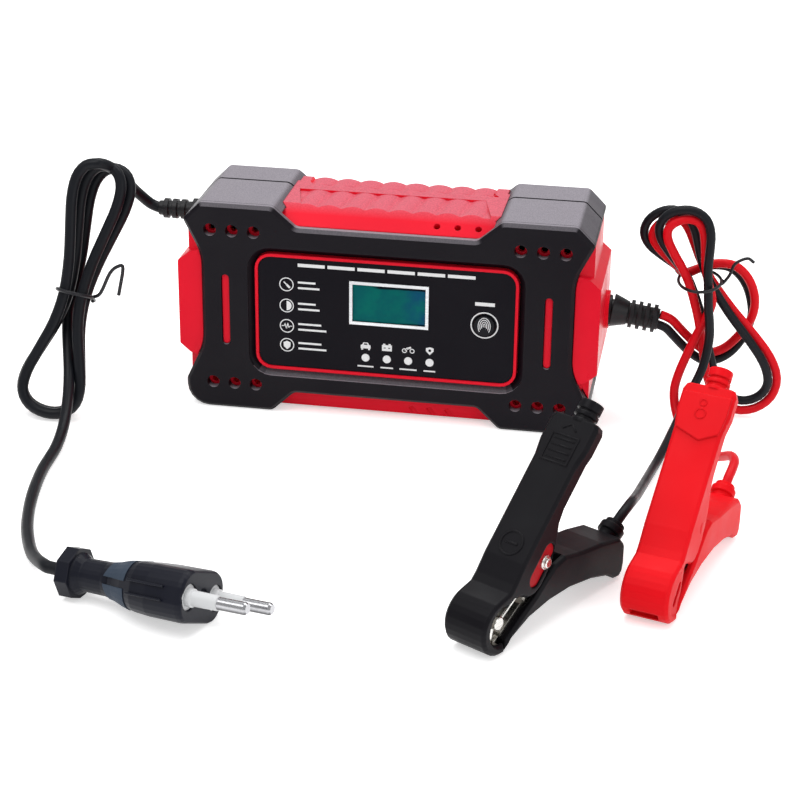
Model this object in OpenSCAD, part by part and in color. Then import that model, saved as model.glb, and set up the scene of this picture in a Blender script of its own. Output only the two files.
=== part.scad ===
// Battery charger for cars: a moulded case in four shells, its control panel and
// circuit boards, a mains cord with a plug, and two output leads with battery clamps.
// The case stands on z = 0 with its front facing -Y; the origin is under its middle.

/* [Case] */
// Width over the black bumpers
case_w = 180; // [176:1:190]
// Height over the black bumpers
case_h = 96; // [93:1:104]
// Depth from the front face to the back face
case_d = 57; // [55:1:64]
// Distance of the parting line behind the front face
front_d = 35.7; // [34:0.1:37]
// Thickness of the bumper plates on the front and the back
plate_t = 4; // [3.5:0.1:4.5]
// Wall of the bumper's corner caps
cap_t = 3.5; // [3:0.1:4]
// Wall of the red shells
shell_t = 2.5; // [2:0.1:3]
// Height of the chamfer at each top corner
corner_cut = 8; // [6:0.5:9]
// Radius of the bottom corners
corner_r = 10; // [7:0.5:11]
// How far the side grips stand out past the bumpers
grip_out = 3; // [1.5:0.5:4]
// Clearance between pieces that sit against each other
fit = 0.2; // [0.1:0.05:0.3]

/* [Bumper cut-outs] */
// Depth of the top cut-out
top_cut = 9; // [8:0.5:10]
// Half width of the top cut-out at its mouth
top_mouth = 50; // [47:0.5:52]
// Half width of the top cut-out at its floor
top_floor = 39.5; // [36:0.5:41]
// Depth of the bottom cut-out
bottom_cut = 9.5; // [8:0.5:10]
// Half width of the bottom cut-out at its mouth
bottom_mouth = 51; // [48:0.5:53]
// Half width of the bottom cut-out at its floor
bottom_floor = 41; // [38:0.5:43]
// Depth of the side cut-outs
side_cut = 8; // [6.5:0.5:9]
// Diameter of the vent holes
vent_d = 5.6; // [4.5:0.1:6]
// Distance between the vent holes
vent_pitch = 9.7; // [9:0.1:10]
// Length of the upright slots
slot_l = 33; // [28:1:36]
// Width of the upright slots
slot_w = 3.6; // [3:0.1:4]

/* [Panel] */
// Width of the red rim round the panel
panel_w = 116; // [112:1:120]
// Height of the red rim round the panel
panel_h = 54; // [51:1:56]
// Thickness of the panel plate
panel_t = 2.6; // [2.2:0.1:3]
// Width of the display's silver frame
lcd_w = 35; // [33:0.5:37]
// Height of the display's silver frame
lcd_h = 20; // [18:0.5:21]
// Diameter of the mode button
button_d = 9; // [8:0.5:10]
// Travel of the mode button
button_travel = 0.6; // [0.4:0.1:0.7]
// Diameter of the indicator lenses
led_d = 3.6; // [3:0.1:4]

/* [Cords] */
// Diameter of the mains cord
mains_d = 5; // [4.6:0.1:5.4]
// Diameter of each output lead
lead_d = 4; // [3.7:0.1:4.2]
// Length of the plug's body
plug_l = 60; // [58:1:66]
// Diameter of the plug's pins
pin_d = 4.8;
// Length of the plug's pins
pin_l = 19;
// Distance between the plug's pins
pin_gap = 19;

/* [Clamps] */
// Width of a clamp at its jaws
jaw_w = 18.6; // [18.2:0.2:20]
// Width of a clamp's handles
handle_w = 21; // [20:0.5:22]
// Wall of a clamp's plastic covers
cover_t = 2; // [1.8:0.1:2.2]
// Diameter of a clamp's pivot pin
pivot_d = 4; // [3.6:0.1:4.2]
// Diameter of the spring wire
wire_d = 1.5; // [1.2:0.1:1.6]
// Radius of the jaws' round mouth
mouth_r = 7.5; // [7:0.1:7.8]

/* [Hidden] */
$fn = 48;

BLACK = "#1b1b1e";
RED = "#d8101f";
STEEL = "#c8c8c8";

front_y = -case_d / 2;
back_y = case_d / 2;
part_y = front_y + front_d;
mid_z = case_h / 2;
// Faces of the shells behind the bumper plates
shell_front = front_y + plate_t + fit;
shell_back = back_y - plate_t - fit;
inner_front = shell_front + shell_t;
inner_back = shell_back - shell_t;

// ---- vectors and outlines ----

function unit(v) = v / norm(v);
function rev(v) = [for (i = [len(v) - 1 : -1 : 0]) v[i]];
function mirrored(v) = [for (p = rev(v)) [-p.x, p.y, p[2]]];

// Rounds one corner p of an outline, whose third number is its radius
function rounded(a, p, b, n) =
    let (c = [p.x, p.y], u = unit([a.x, a.y] - c), w = unit([b.x, b.y] - c))
    p[2] == 0 || norm(u + w) < 0.01 ? [c] :
    let (half = acos(u * w) / 2, o = c + unit(u + w) * p[2] / sin(half),
        s = c + u * p[2] / tan(half) - o, e = c + w * p[2] / tan(half) - o,
        a0 = atan2(s.y, s.x), turn = (atan2(e.y, e.x) - a0 + 540) % 360 - 180)
    [for (k = [0 : n]) o + p[2] * [cos(a0 + turn * k / n), sin(a0 + turn * k / n)]];

// An outline from its corners, each [x, y, radius], in anticlockwise order
function outline(v, n = 5) = [for (i = [0 : len(v) - 1])
    each rounded(v[(i + len(v) - 1) % len(v)], v[i], v[(i + 1) % len(v)], n)];

// The same outline drawn in by d, or let out where d is negative
function inset(p, d) = [for (i = [0 : len(p) - 1])
    let (a = p[(i + len(p) - 1) % len(p)], b = p[i], c = p[(i + 1) % len(p)],
        u = unit(b - a), w = unit(c - b), m = [-u.y - w.y, u.x + w.x])
    b + d * m / (1 + u * w)];

// Corners [x, y, radius] moved in by d, for walls that follow an outline
function shrunk(v, d) = let (q = inset([for (p = v) [p.x, p.y]], d))
    [for (i = [0 : len(v) - 1]) [q[i].x, q[i].y, max(v[i][2] - d, 0.8)]];

function box_corners(w, h, r) = [[w / 2, -h / 2, r], [w / 2, h / 2, r],
    [-w / 2, h / 2, r], [-w / 2, -h / 2, r]];

// Extrudes an outline drawn in X and Z from y0 to y1
module along_y(y0, y1) {
    translate([0, y1, 0]) rotate([90, 0, 0]) linear_extrude(y1 - y0) children();
}

// Extrudes an outline drawn in Y and Z from x0 to x1
module along_x(x0, x1) {
    translate([x0, 0, 0]) rotate([90, 0, 90]) linear_extrude(x1 - x0) children();
}

// Twice the area of the triangle a, b, c: positive where it turns anticlockwise
function turned(a, b, c) = (b.x - a.x) * (c.y - a.y) - (b.y - a.y) * (c.x - a.x);

// The first corner from i on, of the corners v of outline p, that can be cut off as a triangle
function next_ear(p, v, i) =
    let (n = len(v), a = p[v[(i + n - 1) % n]], b = p[v[i % n]], c = p[v[(i + 1) % n]],
        ear = turned(a, b, c) > 0.0001 && len([for (k = v) let (q = p[k])
            if (q != a && q != b && q != c && turned(a, b, q) >= 0 && turned(b, c, q) >= 0
                && turned(c, a, q) >= 0) 1]) == 0)
    ear || i > 3 * n ? i % n : next_ear(p, v, i + 1);

// Triangles that fill the outline p, as numbers of its corners, cut off one by one
function filled(p, v, i = 0) = len(v) == 3 ? [v] :
    let (n = len(v), k = next_ear(p, v, i))
    concat([[v[(k + n - 1) % n], v[k], v[(k + 1) % n]]],
        filled(p, [for (j = [0 : n - 1]) if (j != k) v[j]], k + 1));

function fill(p) = filled(p, [for (i = [0 : len(p) - 1]) i]);

// A slab along Y whose outline p is drawn in by b over its first b millimetres
module bevelled(p, y0, y1, b) {
    n = len(p);
    q = inset(p, b);
    s = y1 > y0 ? 1 : -1;
    points = concat([for (v = q) [v.x, y0, v.y]], [for (v = p) [v.x, y0 + s * b, v.y]],
        [for (v = p) [v.x, y1, v.y]]);
    sides = [for (k = [0, n], i = [0 : n - 1])
        [k + i, k + (i + 1) % n, k + n + (i + 1) % n, k + n + i]];
    faces = concat([for (f = fill(q)) rev(f)], sides,
        [for (f = fill(p)) [for (i = f) 2 * n + i]]);
    polyhedron(points, s > 0 ? faces : [for (f = faces) rev(f)]);
}

// ---- bumper and shell outlines, in X and Z ----

bumper_half = [
    [bottom_floor, bottom_cut, 4], [bottom_mouth, 0, 4], [case_w / 2, 0, corner_r],
    [case_w / 2, corner_r + 3, 3], [case_w / 2 - side_cut, mid_z - 18, 22],
    [case_w / 2 - side_cut, mid_z + 24, 22], [case_w / 2, case_h - corner_cut, 2],
    [case_w / 2 - corner_cut, case_h, 3], [top_mouth, case_h, 4],
    [top_floor, case_h - top_cut, 4]];
bumper_outline = outline(concat(bumper_half, mirrored(bumper_half)));
// The plates stand back a hair from the caps that they carry
plate_outline = inset(bumper_outline, 0.08);
edge_bevel = 1.5;

envelope_half = [[case_w / 2, 0, corner_r], [case_w / 2, case_h - corner_cut, 2],
    [case_w / 2 - corner_cut, case_h, 3]];
envelope_corners = concat(envelope_half, mirrored(envelope_half));
envelope = outline(envelope_corners);
core = outline(shrunk(envelope_corners, cap_t));
core_gap = outline(shrunk(envelope_corners, cap_t - fit));
cavity = outline(shrunk(envelope_corners, cap_t + shell_t));

panel_outline = outline(box_corners(panel_w, panel_h, 7));
rim_t = 1.3;
panel_x = 0;
panel_z = mid_z - 0.5;

vents = [for (side = [-1, 1], k = [0 : 2], z = [12.4, case_h - 12])
    [side * (case_w / 2 - 12.4 - k * vent_pitch), z]];
slot_x = case_w / 2 - 18.8;
slot_z = mid_z - 0.7;
screw_x = case_w / 2 - 27;
screw_zs = [mid_z - 25, mid_z + 25];
screw_d = 2.8;
screw_head_d = 5.6;

seam_w = 0.7;
seam_deep = 0.6;

module upright_slot(w, l) {
    translate([0, -l / 2 + w / 2]) circle(d = w);
    translate([0, l / 2 - w / 2]) circle(d = w);
    square([w, l - w], center = true);
}

module both_sides() {
    children();
    mirror([1, 0, 0]) children();
}

// The corner caps between a plate and the parting line, with a shallow step at that line
module caps(y_part, y_plate) {
    step = y_part + sign(y_plate - y_part) * seam_w;
    along_y(min(step, y_plate), max(step, y_plate)) difference() {
        polygon(bumper_outline);
        polygon(core_gap);
    }
    along_y(min(y_part, step), max(y_part, step)) difference() {
        polygon(inset(bumper_outline, seam_deep));
        polygon(core_gap);
    }
}

gland_x = case_w / 2 - cap_t - shell_t;
ac_gland_z = case_h - 16;
dc_gland_z = mid_z - 1;
ac_gland_d = 8.5;
dc_gland_d = 13;

// Round holes on the parting line for the two cord glands
module gland_holes() {
    translate([-case_w, part_y, ac_gland_z]) rotate([0, 90, 0])
        cylinder(d = ac_gland_d + 2 * fit, h = case_w);
    translate([0, part_y, dc_gland_z]) rotate([0, 90, 0])
        cylinder(d = dc_gland_d + 2 * fit, h = case_w);
}

module vent_holes(y0, y1, d) {
    for (v = vents) translate([v.x, y1, v.y]) rotate([90, 0, 0]) cylinder(d = d, h = y1 - y0);
}

lip = 3;

module front_bumper() {
    color(BLACK) difference() {
        union() {
            bevelled(plate_outline, front_y, front_y + plate_t, edge_bevel);
            caps(part_y, front_y + plate_t - 0.6);
        }
        // the panel opening, with a wide bevel round it
        translate([panel_x, 0, panel_z]) {
            along_y(front_y - 1, front_y + plate_t + 1)
                polygon(inset(panel_outline, -fit));
            bevelled(inset(panel_outline, -lip), front_y + plate_t, front_y - lip, lip);
        }
        vent_holes(front_y - 1, front_y + plate_t + 1, vent_d);
        both_sides() translate([slot_x, 0, slot_z])
            along_y(front_y - 1, front_y + plate_t + 1) upright_slot(slot_w, slot_l);
        gland_holes();
    }
}

module rear_bumper() {
    color(BLACK) difference() {
        union() {
            bevelled(plate_outline, back_y, back_y - plate_t, edge_bevel);
            caps(part_y, back_y - plate_t + 0.6);
        }
        translate([0, 0, panel_z]) along_y(back_y - plate_t - 1, back_y + 1)
            polygon(outline(box_corners(panel_w - 12, panel_h, 5)));
        vent_holes(back_y - plate_t - 1, back_y + 1, vent_d);
        for (x = [-screw_x, screw_x], z = screw_zs) translate([x, back_y + 1, z])
            rotate([90, 0, 0]) cylinder(d = screw_head_d + 2, h = plate_t + 2);
        gland_holes();
    }
}

// ---- red shells ----

slope = 9;
foot_slope = 2.5;
side_slope = 4;
top_z = case_h - 1.5;
bottom_z = 1.5;
side_x = case_w / 2 - 0.6;
block_x = case_w / 2 + grip_out;

// Keeps a shell inside slopes that start at the bumper's cut-outs: long ones on top,
// short ones underneath and at the sides. y0 is the outer face, y1 the parting line.
module sloped(y0, y1) {
    s = y1 > y0 ? 1 : -1;
    intersection() {
        children();
        along_x(-case_w, case_w) polygon([
            [y0, bottom_cut - fit], [y0 + s * foot_slope, bottom_z], [y1, bottom_z],
            [y1, top_z], [y0 + s * slope, top_z], [y0, case_h - top_cut + fit]]);
        linear_extrude(3 * case_h, center = true) polygon([
            [side_cut - case_w / 2, y0], [-side_x, y0 + s * side_slope], [-side_x, y1],
            [side_x, y1], [side_x, y0 + s * side_slope], [case_w / 2 - side_cut, y0]]);
    }
}

// The raised block on each side that fingers hold
module side_block(y0, y1) {
    z0 = mid_z - 19;
    z1 = mid_z + 20;
    back = case_w / 2 - side_cut - 2;
    both_sides() along_y(min(y0, y1), max(y0, y1)) difference() {
        polygon([[back, z0 - 7], [side_x - 1, z0 - 4], [block_x, z0], [block_x, z1],
            [side_x - 1, z1 + 4], [back, z1 + 7]]);
        polygon(inset(bumper_outline, -fit));
    }
}

module shell_solid(y0, y1) {
    s = y1 > y0 ? 1 : -1;
    sloped(y0, y1) along_y(min(y0, y1), max(y0, y1)) {
        polygon(core);
        difference() {
            polygon(inset(envelope, 0.6));
            polygon(inset(bumper_outline, -fit));
        }
    }
    side_block(y0 - s * (plate_t - 2), y1);
}

// The hollow, kept clear of the slopes near the outer face
module shell_cavity(y0, y1) {
    s = y1 > y0 ? 1 : -1;
    mid = y0 + s * (slope - 1);
    along_y(min(mid, y1 + s), max(mid, y1 + s)) polygon(cavity);
    intersection() {
        along_y(min(y0, mid + s), max(y0, mid + s)) polygon(cavity);
        translate([-case_w / 2 + side_cut + shell_t, -case_d, bottom_cut + shell_t])
            cube([case_w - 2 * side_cut - 2 * shell_t, 2 * case_d,
                case_h - top_cut - bottom_cut - 2 * shell_t]);
    }
}

rib_pitch = 10.4;
rib_count = 8;
rib_r = 12;
rib_deep = 1.1;
rib_turn = -5;

// The pillow ribs that fill the pocket in the top grip, from y0 to y1
module top_ribs(y0, y1) {
    for (k = [0 : rib_count - 1])
        translate([(k - (rib_count - 1) / 2) * rib_pitch, (y0 + y1) / 2, top_z - rib_r - 0.1])
            rotate([0, 0, rib_turn]) rotate([90, 0, 0])
                cylinder(r = rib_r, h = 2 * abs(y1 - y0), center = true, $fn = 96);
}

module rib_pocket(y0, y1, shift) {
    half = rib_count * rib_pitch / 2;
    translate([0, 0, top_z - rib_deep]) linear_extrude(2 * rib_deep) polygon([
        [shift - half, y0], [shift + half, y0], [shift + half - 5, y1], [shift - half - 5, y1]]);
}

boss_d = 7;

module shell_bosses(y0, y1) {
    for (x = [-screw_x, screw_x], z = screw_zs)
        translate([x, y1, z]) rotate([90, 0, 0]) cylinder(d = boss_d, h = y1 - y0);
}

module front_shell() {
    color(RED) difference() {
        union() {
            difference() {
                shell_solid(shell_front, part_y);
                shell_cavity(inner_front, part_y);
            }
            // ribs that fill the bumper's slots
            both_sides() translate([slot_x, 0, slot_z])
                along_y(front_y + 1, shell_front + 0.5)
                    upright_slot(slot_w - 2 * fit, slot_l - 2 * fit);
            // rim round the panel
            translate([panel_x, 0, panel_z]) along_y(front_y + 1, shell_front + 0.5) difference() {
                polygon(panel_outline);
                polygon(inset(panel_outline, rim_t));
            }
            shell_bosses(inner_front - 0.5, part_y);
            // stand-offs for the display board
            for (x = board_xs, z = display_zs) translate([x, display_y, z]) rotate([90, 0, 0])
                cylinder(d = 5, h = display_y - inner_front + 0.5);
            dc_collar(front_y, part_y);
            // pins that hold the display board
            for (x = board_xs, z = display_zs) translate([x, display_y + display_t + 0.6, z])
                rotate([90, 0, 0]) cylinder(d = 2, h = display_t + 1);
        }
        // pocket for the panel, leaving a floor behind it
        translate([panel_x, 0, panel_z])
            along_y(front_y, panel_back) polygon(inset(panel_outline, rim_t));
        difference() {
            rib_pocket(front_y + slope + 3, part_y - 3, 2);
            top_ribs(front_y + slope + 3, part_y - 3);
        }
        // display window, button hole and indicator holes through the floor
        along_y(front_y, inner_front + 1) {
            translate([lcd_x, lcd_z]) square([lcd_w - 4, lcd_h - 4], center = true);
            translate([button_x, button_z]) circle(d = button_d - 2);
            for (x = led_xs) translate([x, led_z]) circle(d = led_d + 0.6);
        }
        // three small holes in the slope of the top grip
        for (x = [21, 30, 39]) translate([x, shell_front + 3.4, case_h - top_cut + 2.9])
            rotate([40, 0, 0]) cylinder(d = 2.8, h = 9, center = true);
        vent_holes(front_y, inner_front + 1, vent_d - 2.6);
        // grooves in the bottom grip
        for (x = [13.5, 21.5, 29.5]) translate([x, shell_front, 2])
            rotate([0, -35, 0]) cube([2.4, 5, 9], center = true);
        for (x = [-screw_x, screw_x], z = screw_zs) translate([x, part_y + 1, z])
            rotate([90, 0, 0]) cylinder(d = screw_d + 0.1, h = 14);
        gland_holes();
    }
}

dc_collar_d = 17;
dc_collar_x = case_w / 2 + grip_out + 1.8;

// Half of the round collar that holds the output gland
module dc_collar(y0, y1) {
    intersection() {
        translate([gland_x + 0.5, part_y, dc_gland_z]) rotate([0, 90, 0])
            cylinder(d = dc_collar_d, h = dc_collar_x - gland_x - 0.5);
        along_y(y0, y1) translate([0, -case_h]) square([2 * case_w, 3 * case_h]);
    }
}

module rear_shell() {
    color(RED) difference() {
        union() {
            difference() {
                shell_solid(shell_back, part_y);
                shell_cavity(inner_back, part_y);
            }
            shell_bosses(part_y, inner_back + 0.5);
            for (x = board_xs, z = board_zs) translate([x, inner_back + 0.5, z])
                rotate([90, 0, 0]) cylinder(d = 6, h = standoff + 0.5);
            dc_collar(part_y, back_y);
        }
        difference() {
            rib_pocket(part_y + 3, back_y - slope, 2);
            top_ribs(part_y + 3, back_y - slope);
        }
        vent_holes(inner_back - 1, back_y, vent_d - 2.6);
        for (x = [-screw_x, screw_x], z = screw_zs) translate([x, back_y, z])
            rotate([90, 0, 0]) cylinder(d = screw_d + 0.6, h = case_d);
        for (x = board_xs, z = board_zs) translate([x, inner_back, z])
            rotate([90, 0, 0]) cylinder(d = 2.1, h = standoff + 1);
        gland_holes();
        // room for the flange of the output gland
        translate([gland_x - 4, part_y, dc_gland_z]) rotate([0, 90, 0])
            cylinder(d = dc_gland_d + 4.6, h = 3.95);
    }
}

// ---- panel, display and button ----

panel_back = shell_front;
panel_front = panel_back - panel_t;
lcd_x = 1.5;
lcd_z = mid_z + 6.5;
button_x = 43.5;
button_z = mid_z + 0.5;
led_xs = [for (k = [0 : 3]) -8.7 + 9.5 * k];
led_z = mid_z - 19;
bezel_t = 1.4;

module control_panel() {
    color("#101012") difference() {
        translate([panel_x, 0, panel_z])
            along_y(panel_front, panel_back) polygon(inset(panel_outline, rim_t + fit));
        along_y(panel_front - 1, panel_back + 1) {
            translate([lcd_x, lcd_z])
                square([lcd_w - 2 * bezel_t, lcd_h - 2 * bezel_t], center = true);
            translate([button_x, button_z]) circle(d = button_d + 0.5);
            for (x = led_xs) translate([x, led_z]) circle(d = led_d + 0.2);
        }
    }
}

module lcd_bezel() {
    color("#c9ccd0") along_y(panel_front - 0.5, panel_front) translate([lcd_x, lcd_z])
        difference() {
            square([lcd_w, lcd_h], center = true);
            square([lcd_w - 2 * bezel_t, lcd_h - 2 * bezel_t], center = true);
        }
}

module lcd_glass() {
    color("#12706f") {
        along_y(panel_front + 0.4, panel_back) translate([lcd_x, lcd_z])
            square([lcd_w - 2 * bezel_t - 0.2, lcd_h - 2 * bezel_t - 0.2], center = true);
        along_y(panel_back - 0.5, display_y) translate([lcd_x, lcd_z])
            square([lcd_w - 5, lcd_h - 5], center = true);
    }
}

switch_h = 3.8;
button_play = 0.1;

module mode_button() {
    color("#1d1d20") translate([button_x, 0, button_z]) {
        along_y(panel_front - 0.9, panel_back - button_travel - 0.3) circle(d = button_d);
        along_y(panel_back - button_travel - 0.4, display_y - switch_h - button_travel - button_play)
            circle(d = button_d - 3);
    }
}

module tact_switch() {
    color("#333336") translate([button_x, display_y, button_z]) rotate([90, 0, 0]) {
        translate([-3, -3, 0]) cube([6, 6, switch_h - 0.8]);
        cylinder(d = 3.4, h = switch_h);
    }
}

module led_lenses() {
    color("#e8e8e4") for (x = led_xs) translate([x, display_y, led_z]) rotate([90, 0, 0])
        cylinder(d = led_d, h = display_y - panel_front + 0.2);
}

display_t = 1.6;
display_y = inner_front + 7;
board_xs = [-52, 52];
display_zs = [mid_z - 23, mid_z + 23];
board_zs = [mid_z - 33, mid_z + 33];
standoff = 4;
board_t = 1.6;
board_back = inner_back - standoff;
board_front = board_back - board_t;

module plate_with_holes(y0, y1, w, z0, z1, zs, d) {
    along_y(y0, y1) difference() {
        translate([-w / 2, z0]) square([w, z1 - z0]);
        for (x = board_xs, z = zs) translate([x, z]) circle(d = d);
    }
}

module display_board() {
    color("#1f5a35") plate_with_holes(display_y, display_y + display_t, 112,
        display_zs[0] - 4, display_zs[1] + 4, display_zs, 2.2);
}

module main_board() {
    color("#1f5a35") plate_with_holes(board_front, board_back, 116,
        board_zs[0] - 2.5, board_zs[1] + 2, board_zs, 2.4);
}

// Puts a piece on the main board's front face, its own +Z standing off the board
module on_board(x, z) {
    translate([x, board_front, z]) rotate([90, 0, 0]) children();
}

transformer_w = 32;
transformer_h = 26;
transformer_d = 20;

module transformer_core() {
    color("#2e2e31") on_board(-4, mid_z + 6) difference() {
        translate([-transformer_w / 2, -transformer_h / 2, 0])
            cube([transformer_w, transformer_h, transformer_d]);
        for (s = [-1, 1]) translate([s * transformer_w / 4, 0, transformer_d / 2])
            cube([transformer_w / 4, transformer_h + 2, transformer_d / 2], center = true);
    }
}

module transformer_coil() {
    w = transformer_w / 4 - 0.4;
    color("#d6b23c") on_board(-4, mid_z + 6) for (s = [-1, 1])
        translate([s * transformer_w / 4, 0, transformer_d / 2])
            cube([w, transformer_h + 6, transformer_d / 2 - 0.4], center = true);
}

sink_x = 30;
sink_l = 46;

module heat_sink() {
    color("#b9bcc0") on_board(sink_x, mid_z + 4) {
        translate([-1, -sink_l / 2, 0]) cube([2, sink_l, 20]);
        for (k = [0 : 6]) translate([0, -sink_l / 2 + k * (sink_l - 1.2) / 6, 0])
            cube([9, 1.2, 20]);
    }
}

module power_transistors() {
    color("#222225") for (k = [-1, 0, 1]) on_board(sink_x - 1 - 2.4, mid_z + 4 + k * 14) {
        translate([-2.2, -5, 4]) cube([4.6, 10, 13]);
        for (y = [-2.5, 0, 2.5]) translate([-0.4, y - 0.4, 0]) cube([0.8, 0.8, 4.5]);
    }
}

module mains_capacitor() {
    color("#2b3b63") on_board(-38, mid_z + 10) cylinder(d = 18, h = 22);
}

module output_capacitors() {
    color("#35353a") for (k = [0, 1]) on_board(47, mid_z + 6 - k * 14) cylinder(d = 10, h = 20);
}

module choke() {
    color("#b5642a") on_board(2, mid_z - 23) translate([0, 0, 4.3])
        rotate_extrude() translate([8, 0]) circle(d = 8.6);
}

module bridge_rectifier() {
    color("#2a2a2c") on_board(-40, mid_z - 14) {
        translate([-10, -2, 3]) cube([20, 4, 14]);
        for (x = [-7.5, -2.5, 2.5, 7.5]) translate([x - 0.5, -0.5, 0]) cube([1, 1, 3.5]);
    }
}

module fuse() {
    on_board(-38, mid_z - 26) {
        color("#dfe6e6") translate([-10, 0, 5]) rotate([0, 90, 0]) cylinder(d = 5, h = 20);
        for (x = [-8.5, 6.5]) color(STEEL) translate([x, -2, 0]) cube([2, 4, 4]);
    }
}

module screws(places, y_head, d, head_d, l, head_t) {
    color(STEEL) for (p = places) translate([p.x, y_head, p.y]) rotate([90, 0, 0]) {
        translate([0, 0, -head_t]) difference() {
            cylinder(d = head_d, h = head_t);
            translate([0, 0, -0.1]) {
                cube([head_d * 0.6, 0.8, 1.6], center = true);
                cube([0.8, head_d * 0.6, 1.6], center = true);
            }
        }
        translate([0, 0, -0.1]) cylinder(d = d, h = l + 0.1);
    }
}

module case_screws() {
    screws([for (x = [-screw_x, screw_x], z = screw_zs) [x, z]], shell_back,
        screw_d, screw_head_d, shell_back - part_y + 10, 2.2);
}

// The main board's screws enter from the front, so they are turned round
module board_screws() {
    color(STEEL) for (x = board_xs, z = board_zs) translate([x, board_front, z])
        rotate([-90, 0, 0]) {
            translate([0, 0, -1.8]) cylinder(d = 5, h = 1.8);
            cylinder(d = 2, h = board_t + standoff);
        }
}

// ---- glands ----

ac_gland_l = 20;
dc_gland_l = 22;
ac_tip = [-case_w / 2 - ac_gland_l, part_y, ac_gland_z];
dc_root = [dc_collar_x, part_y, dc_gland_z];
dc_droop = 8;
dc_tip = dc_root + dc_gland_l * [cos(dc_droop), 0, -sin(dc_droop)];

module ac_gland() {
    color(BLACK) translate([-gland_x, part_y, ac_gland_z]) rotate([0, -90, 0]) {
        wall = case_w / 2 - gland_x;
        translate([0, 0, -2]) cylinder(d = ac_gland_d + 3.2, h = 1.8);
        translate([0, 0, -1]) cylinder(d = ac_gland_d, h = wall + 3);
        translate([0, 0, wall + 0.2]) cylinder(d = ac_gland_d + 2, h = 4);
        translate([0, 0, wall + 2]) cylinder(d1 = 7.6, d2 = 6.6, h = ac_gland_l - 2);
        for (k = [0 : 2]) translate([0, 0, wall + 7.5 + 4 * k]) cylinder(d = 9, h = 2.2);
    }
}

module dc_gland() {
    color(BLACK) {
        translate([gland_x - 2, part_y, dc_gland_z]) rotate([0, 90, 0]) {
            cylinder(d = dc_gland_d + 4, h = 1.8);
            cylinder(d = dc_gland_d, h = dc_root.x - gland_x + 3);
        }
        translate(dc_root) rotate([0, 90 + dc_droop, 0]) {
            translate([0, 0, 1.2]) cylinder(d1 = 15, d2 = 10.5, h = 7);
            cylinder(d = 9.6, h = dc_gland_l);
            for (k = [0 : 3]) translate([0, 0, 9 + 3.4 * k]) cylinder(d = 12.5, h = 1.7);
        }
    }
}

// ---- tubes swept along routes ----

function cat(a, b, c, d, t) = 0.5 * ((2 * b) + (c - a) * t
    + (2 * a - 5 * b + 4 * c - d) * t * t + (3 * b - a - 3 * c + d) * t * t * t);

// Points on a smooth line through v, n to each stretch
function smooth_line(v, n) = concat([for (i = [0 : len(v) - 2], k = [0 : n - 1])
    cat(i == 0 ? 2 * v[0] - v[1] : v[i - 1], v[i], v[i + 1],
        i + 2 < len(v) ? v[i + 2] : 2 * v[i + 1] - v[i], k / n)], [v[len(v) - 1]]);

function tangent(v, i) = unit(v[min(i + 1, len(v) - 1)] - v[max(i - 1, 0)]);

// Carries a cross direction along the line without twist
function carried(v, i, u) =
    let (t = tangent(v, i), w = unit(u - (u * t) * t))
    i == len(v) - 1 ? [w] : concat([w], carried(v, i + 1, w));

function start_side(v) = let (t = tangent(v, 0)) abs(t.z) < 0.8 ? [0, 0, 1] : [0, 1, 0];

// A round tube of the given diameter along the points v
module tube(v, d, sides) {
    us = carried(v, 0, start_side(v));
    rings = [for (i = [0 : len(v) - 1]) let (t = tangent(v, i), u = us[i], w = cross(t, u))
        for (k = [0 : sides - 1])
            v[i] + d / 2 * (cos(360 * k / sides) * u + sin(360 * k / sides) * w)];
    n = len(v) - 1;
    polyhedron(rings, concat(
        [[for (k = [0 : sides - 1]) k]],
        [for (i = [0 : n - 1], k = [0 : sides - 1]) let (a = i * sides, b = (k + 1) % sides)
            each [[a + k, a + sides + k, a + b], [a + b, a + sides + k, a + sides + b]]],
        [[for (k = [sides - 1 : -1 : 0]) n * sides + k]]));
}

// ---- hanks ----

// A hank's centre line: turns of an oval that is drawn in at its waist, with the turns
// stepping sideways along dir_w. At turn t = 0 the line is at the top of the hank.
//   c waist, u upwards, v across, w step direction; top, low the reach of the two ends;
//   then half width at the waist, radius of the top folds, lean per turn and at turn 0,
//   step per turn, side it sets out to, radius of the lower folds
function hank_point(h, t) =
    let (a = 360 * t, lean = h[9] + h[8] * t,
        reach = cos(a) > 0 ? h[4] : h[5],
        wide = sqrt(reach * (cos(a) > 0 ? h[7] : h[12])),
        half = h[6] + (wide - h[6]) * cos(a) * cos(a),
        p = reach * cos(a), q = h[11] * half * sin(a))
    h[0] + (p * cos(lean) - q * sin(lean)) * h[1] + (p * sin(lean) + q * cos(lean)) * h[2]
        + h[10] * t * h[3];

function hank_line(h, t0, t1, n) = [for (i = [0 : n]) hank_point(h, t0 + (t1 - t0) * i / n)];

function to_line(p, a, b) = let (k = max(0, min(1, (p - a) * (b - a) / ((b - a) * (b - a)))))
    norm(p - a - k * (b - a));

// The least gap between the turns of one line, leaving out neighbours along it
function self_gap(v, d, apart) = min([for (i = [0 : len(v) - 1], j = [0 : len(v) - 2])
    if (j > i + apart || j + 1 < i - apart) to_line(v[i], v[j], v[j + 1])]) - d;

function pair_gap(v, w, d) = min([for (p = v, j = [0 : len(w) - 2])
    to_line(p, w[j], w[j + 1])]) - d;

RINGS = 24;

// Mains hank, leaning back from its foot on the floor
mains_up = unit([24, 42, 105]);
mains_across = unit([1, 0, 0] - mains_up.x * mains_up);
mains_step = cross(mains_up, mains_across);
mains_h = [[-138, -40, 54], mains_up, mains_across, mains_step,
    58, 54, 3.6, 8, 3, -4, mains_d + 1, -1, 19];
mains_t0 = 0;
mains_t1 = 2.25;
mains_coil = hank_line(mains_h, mains_t0, mains_t1, round((mains_t1 - mains_t0) * RINGS));

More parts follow.
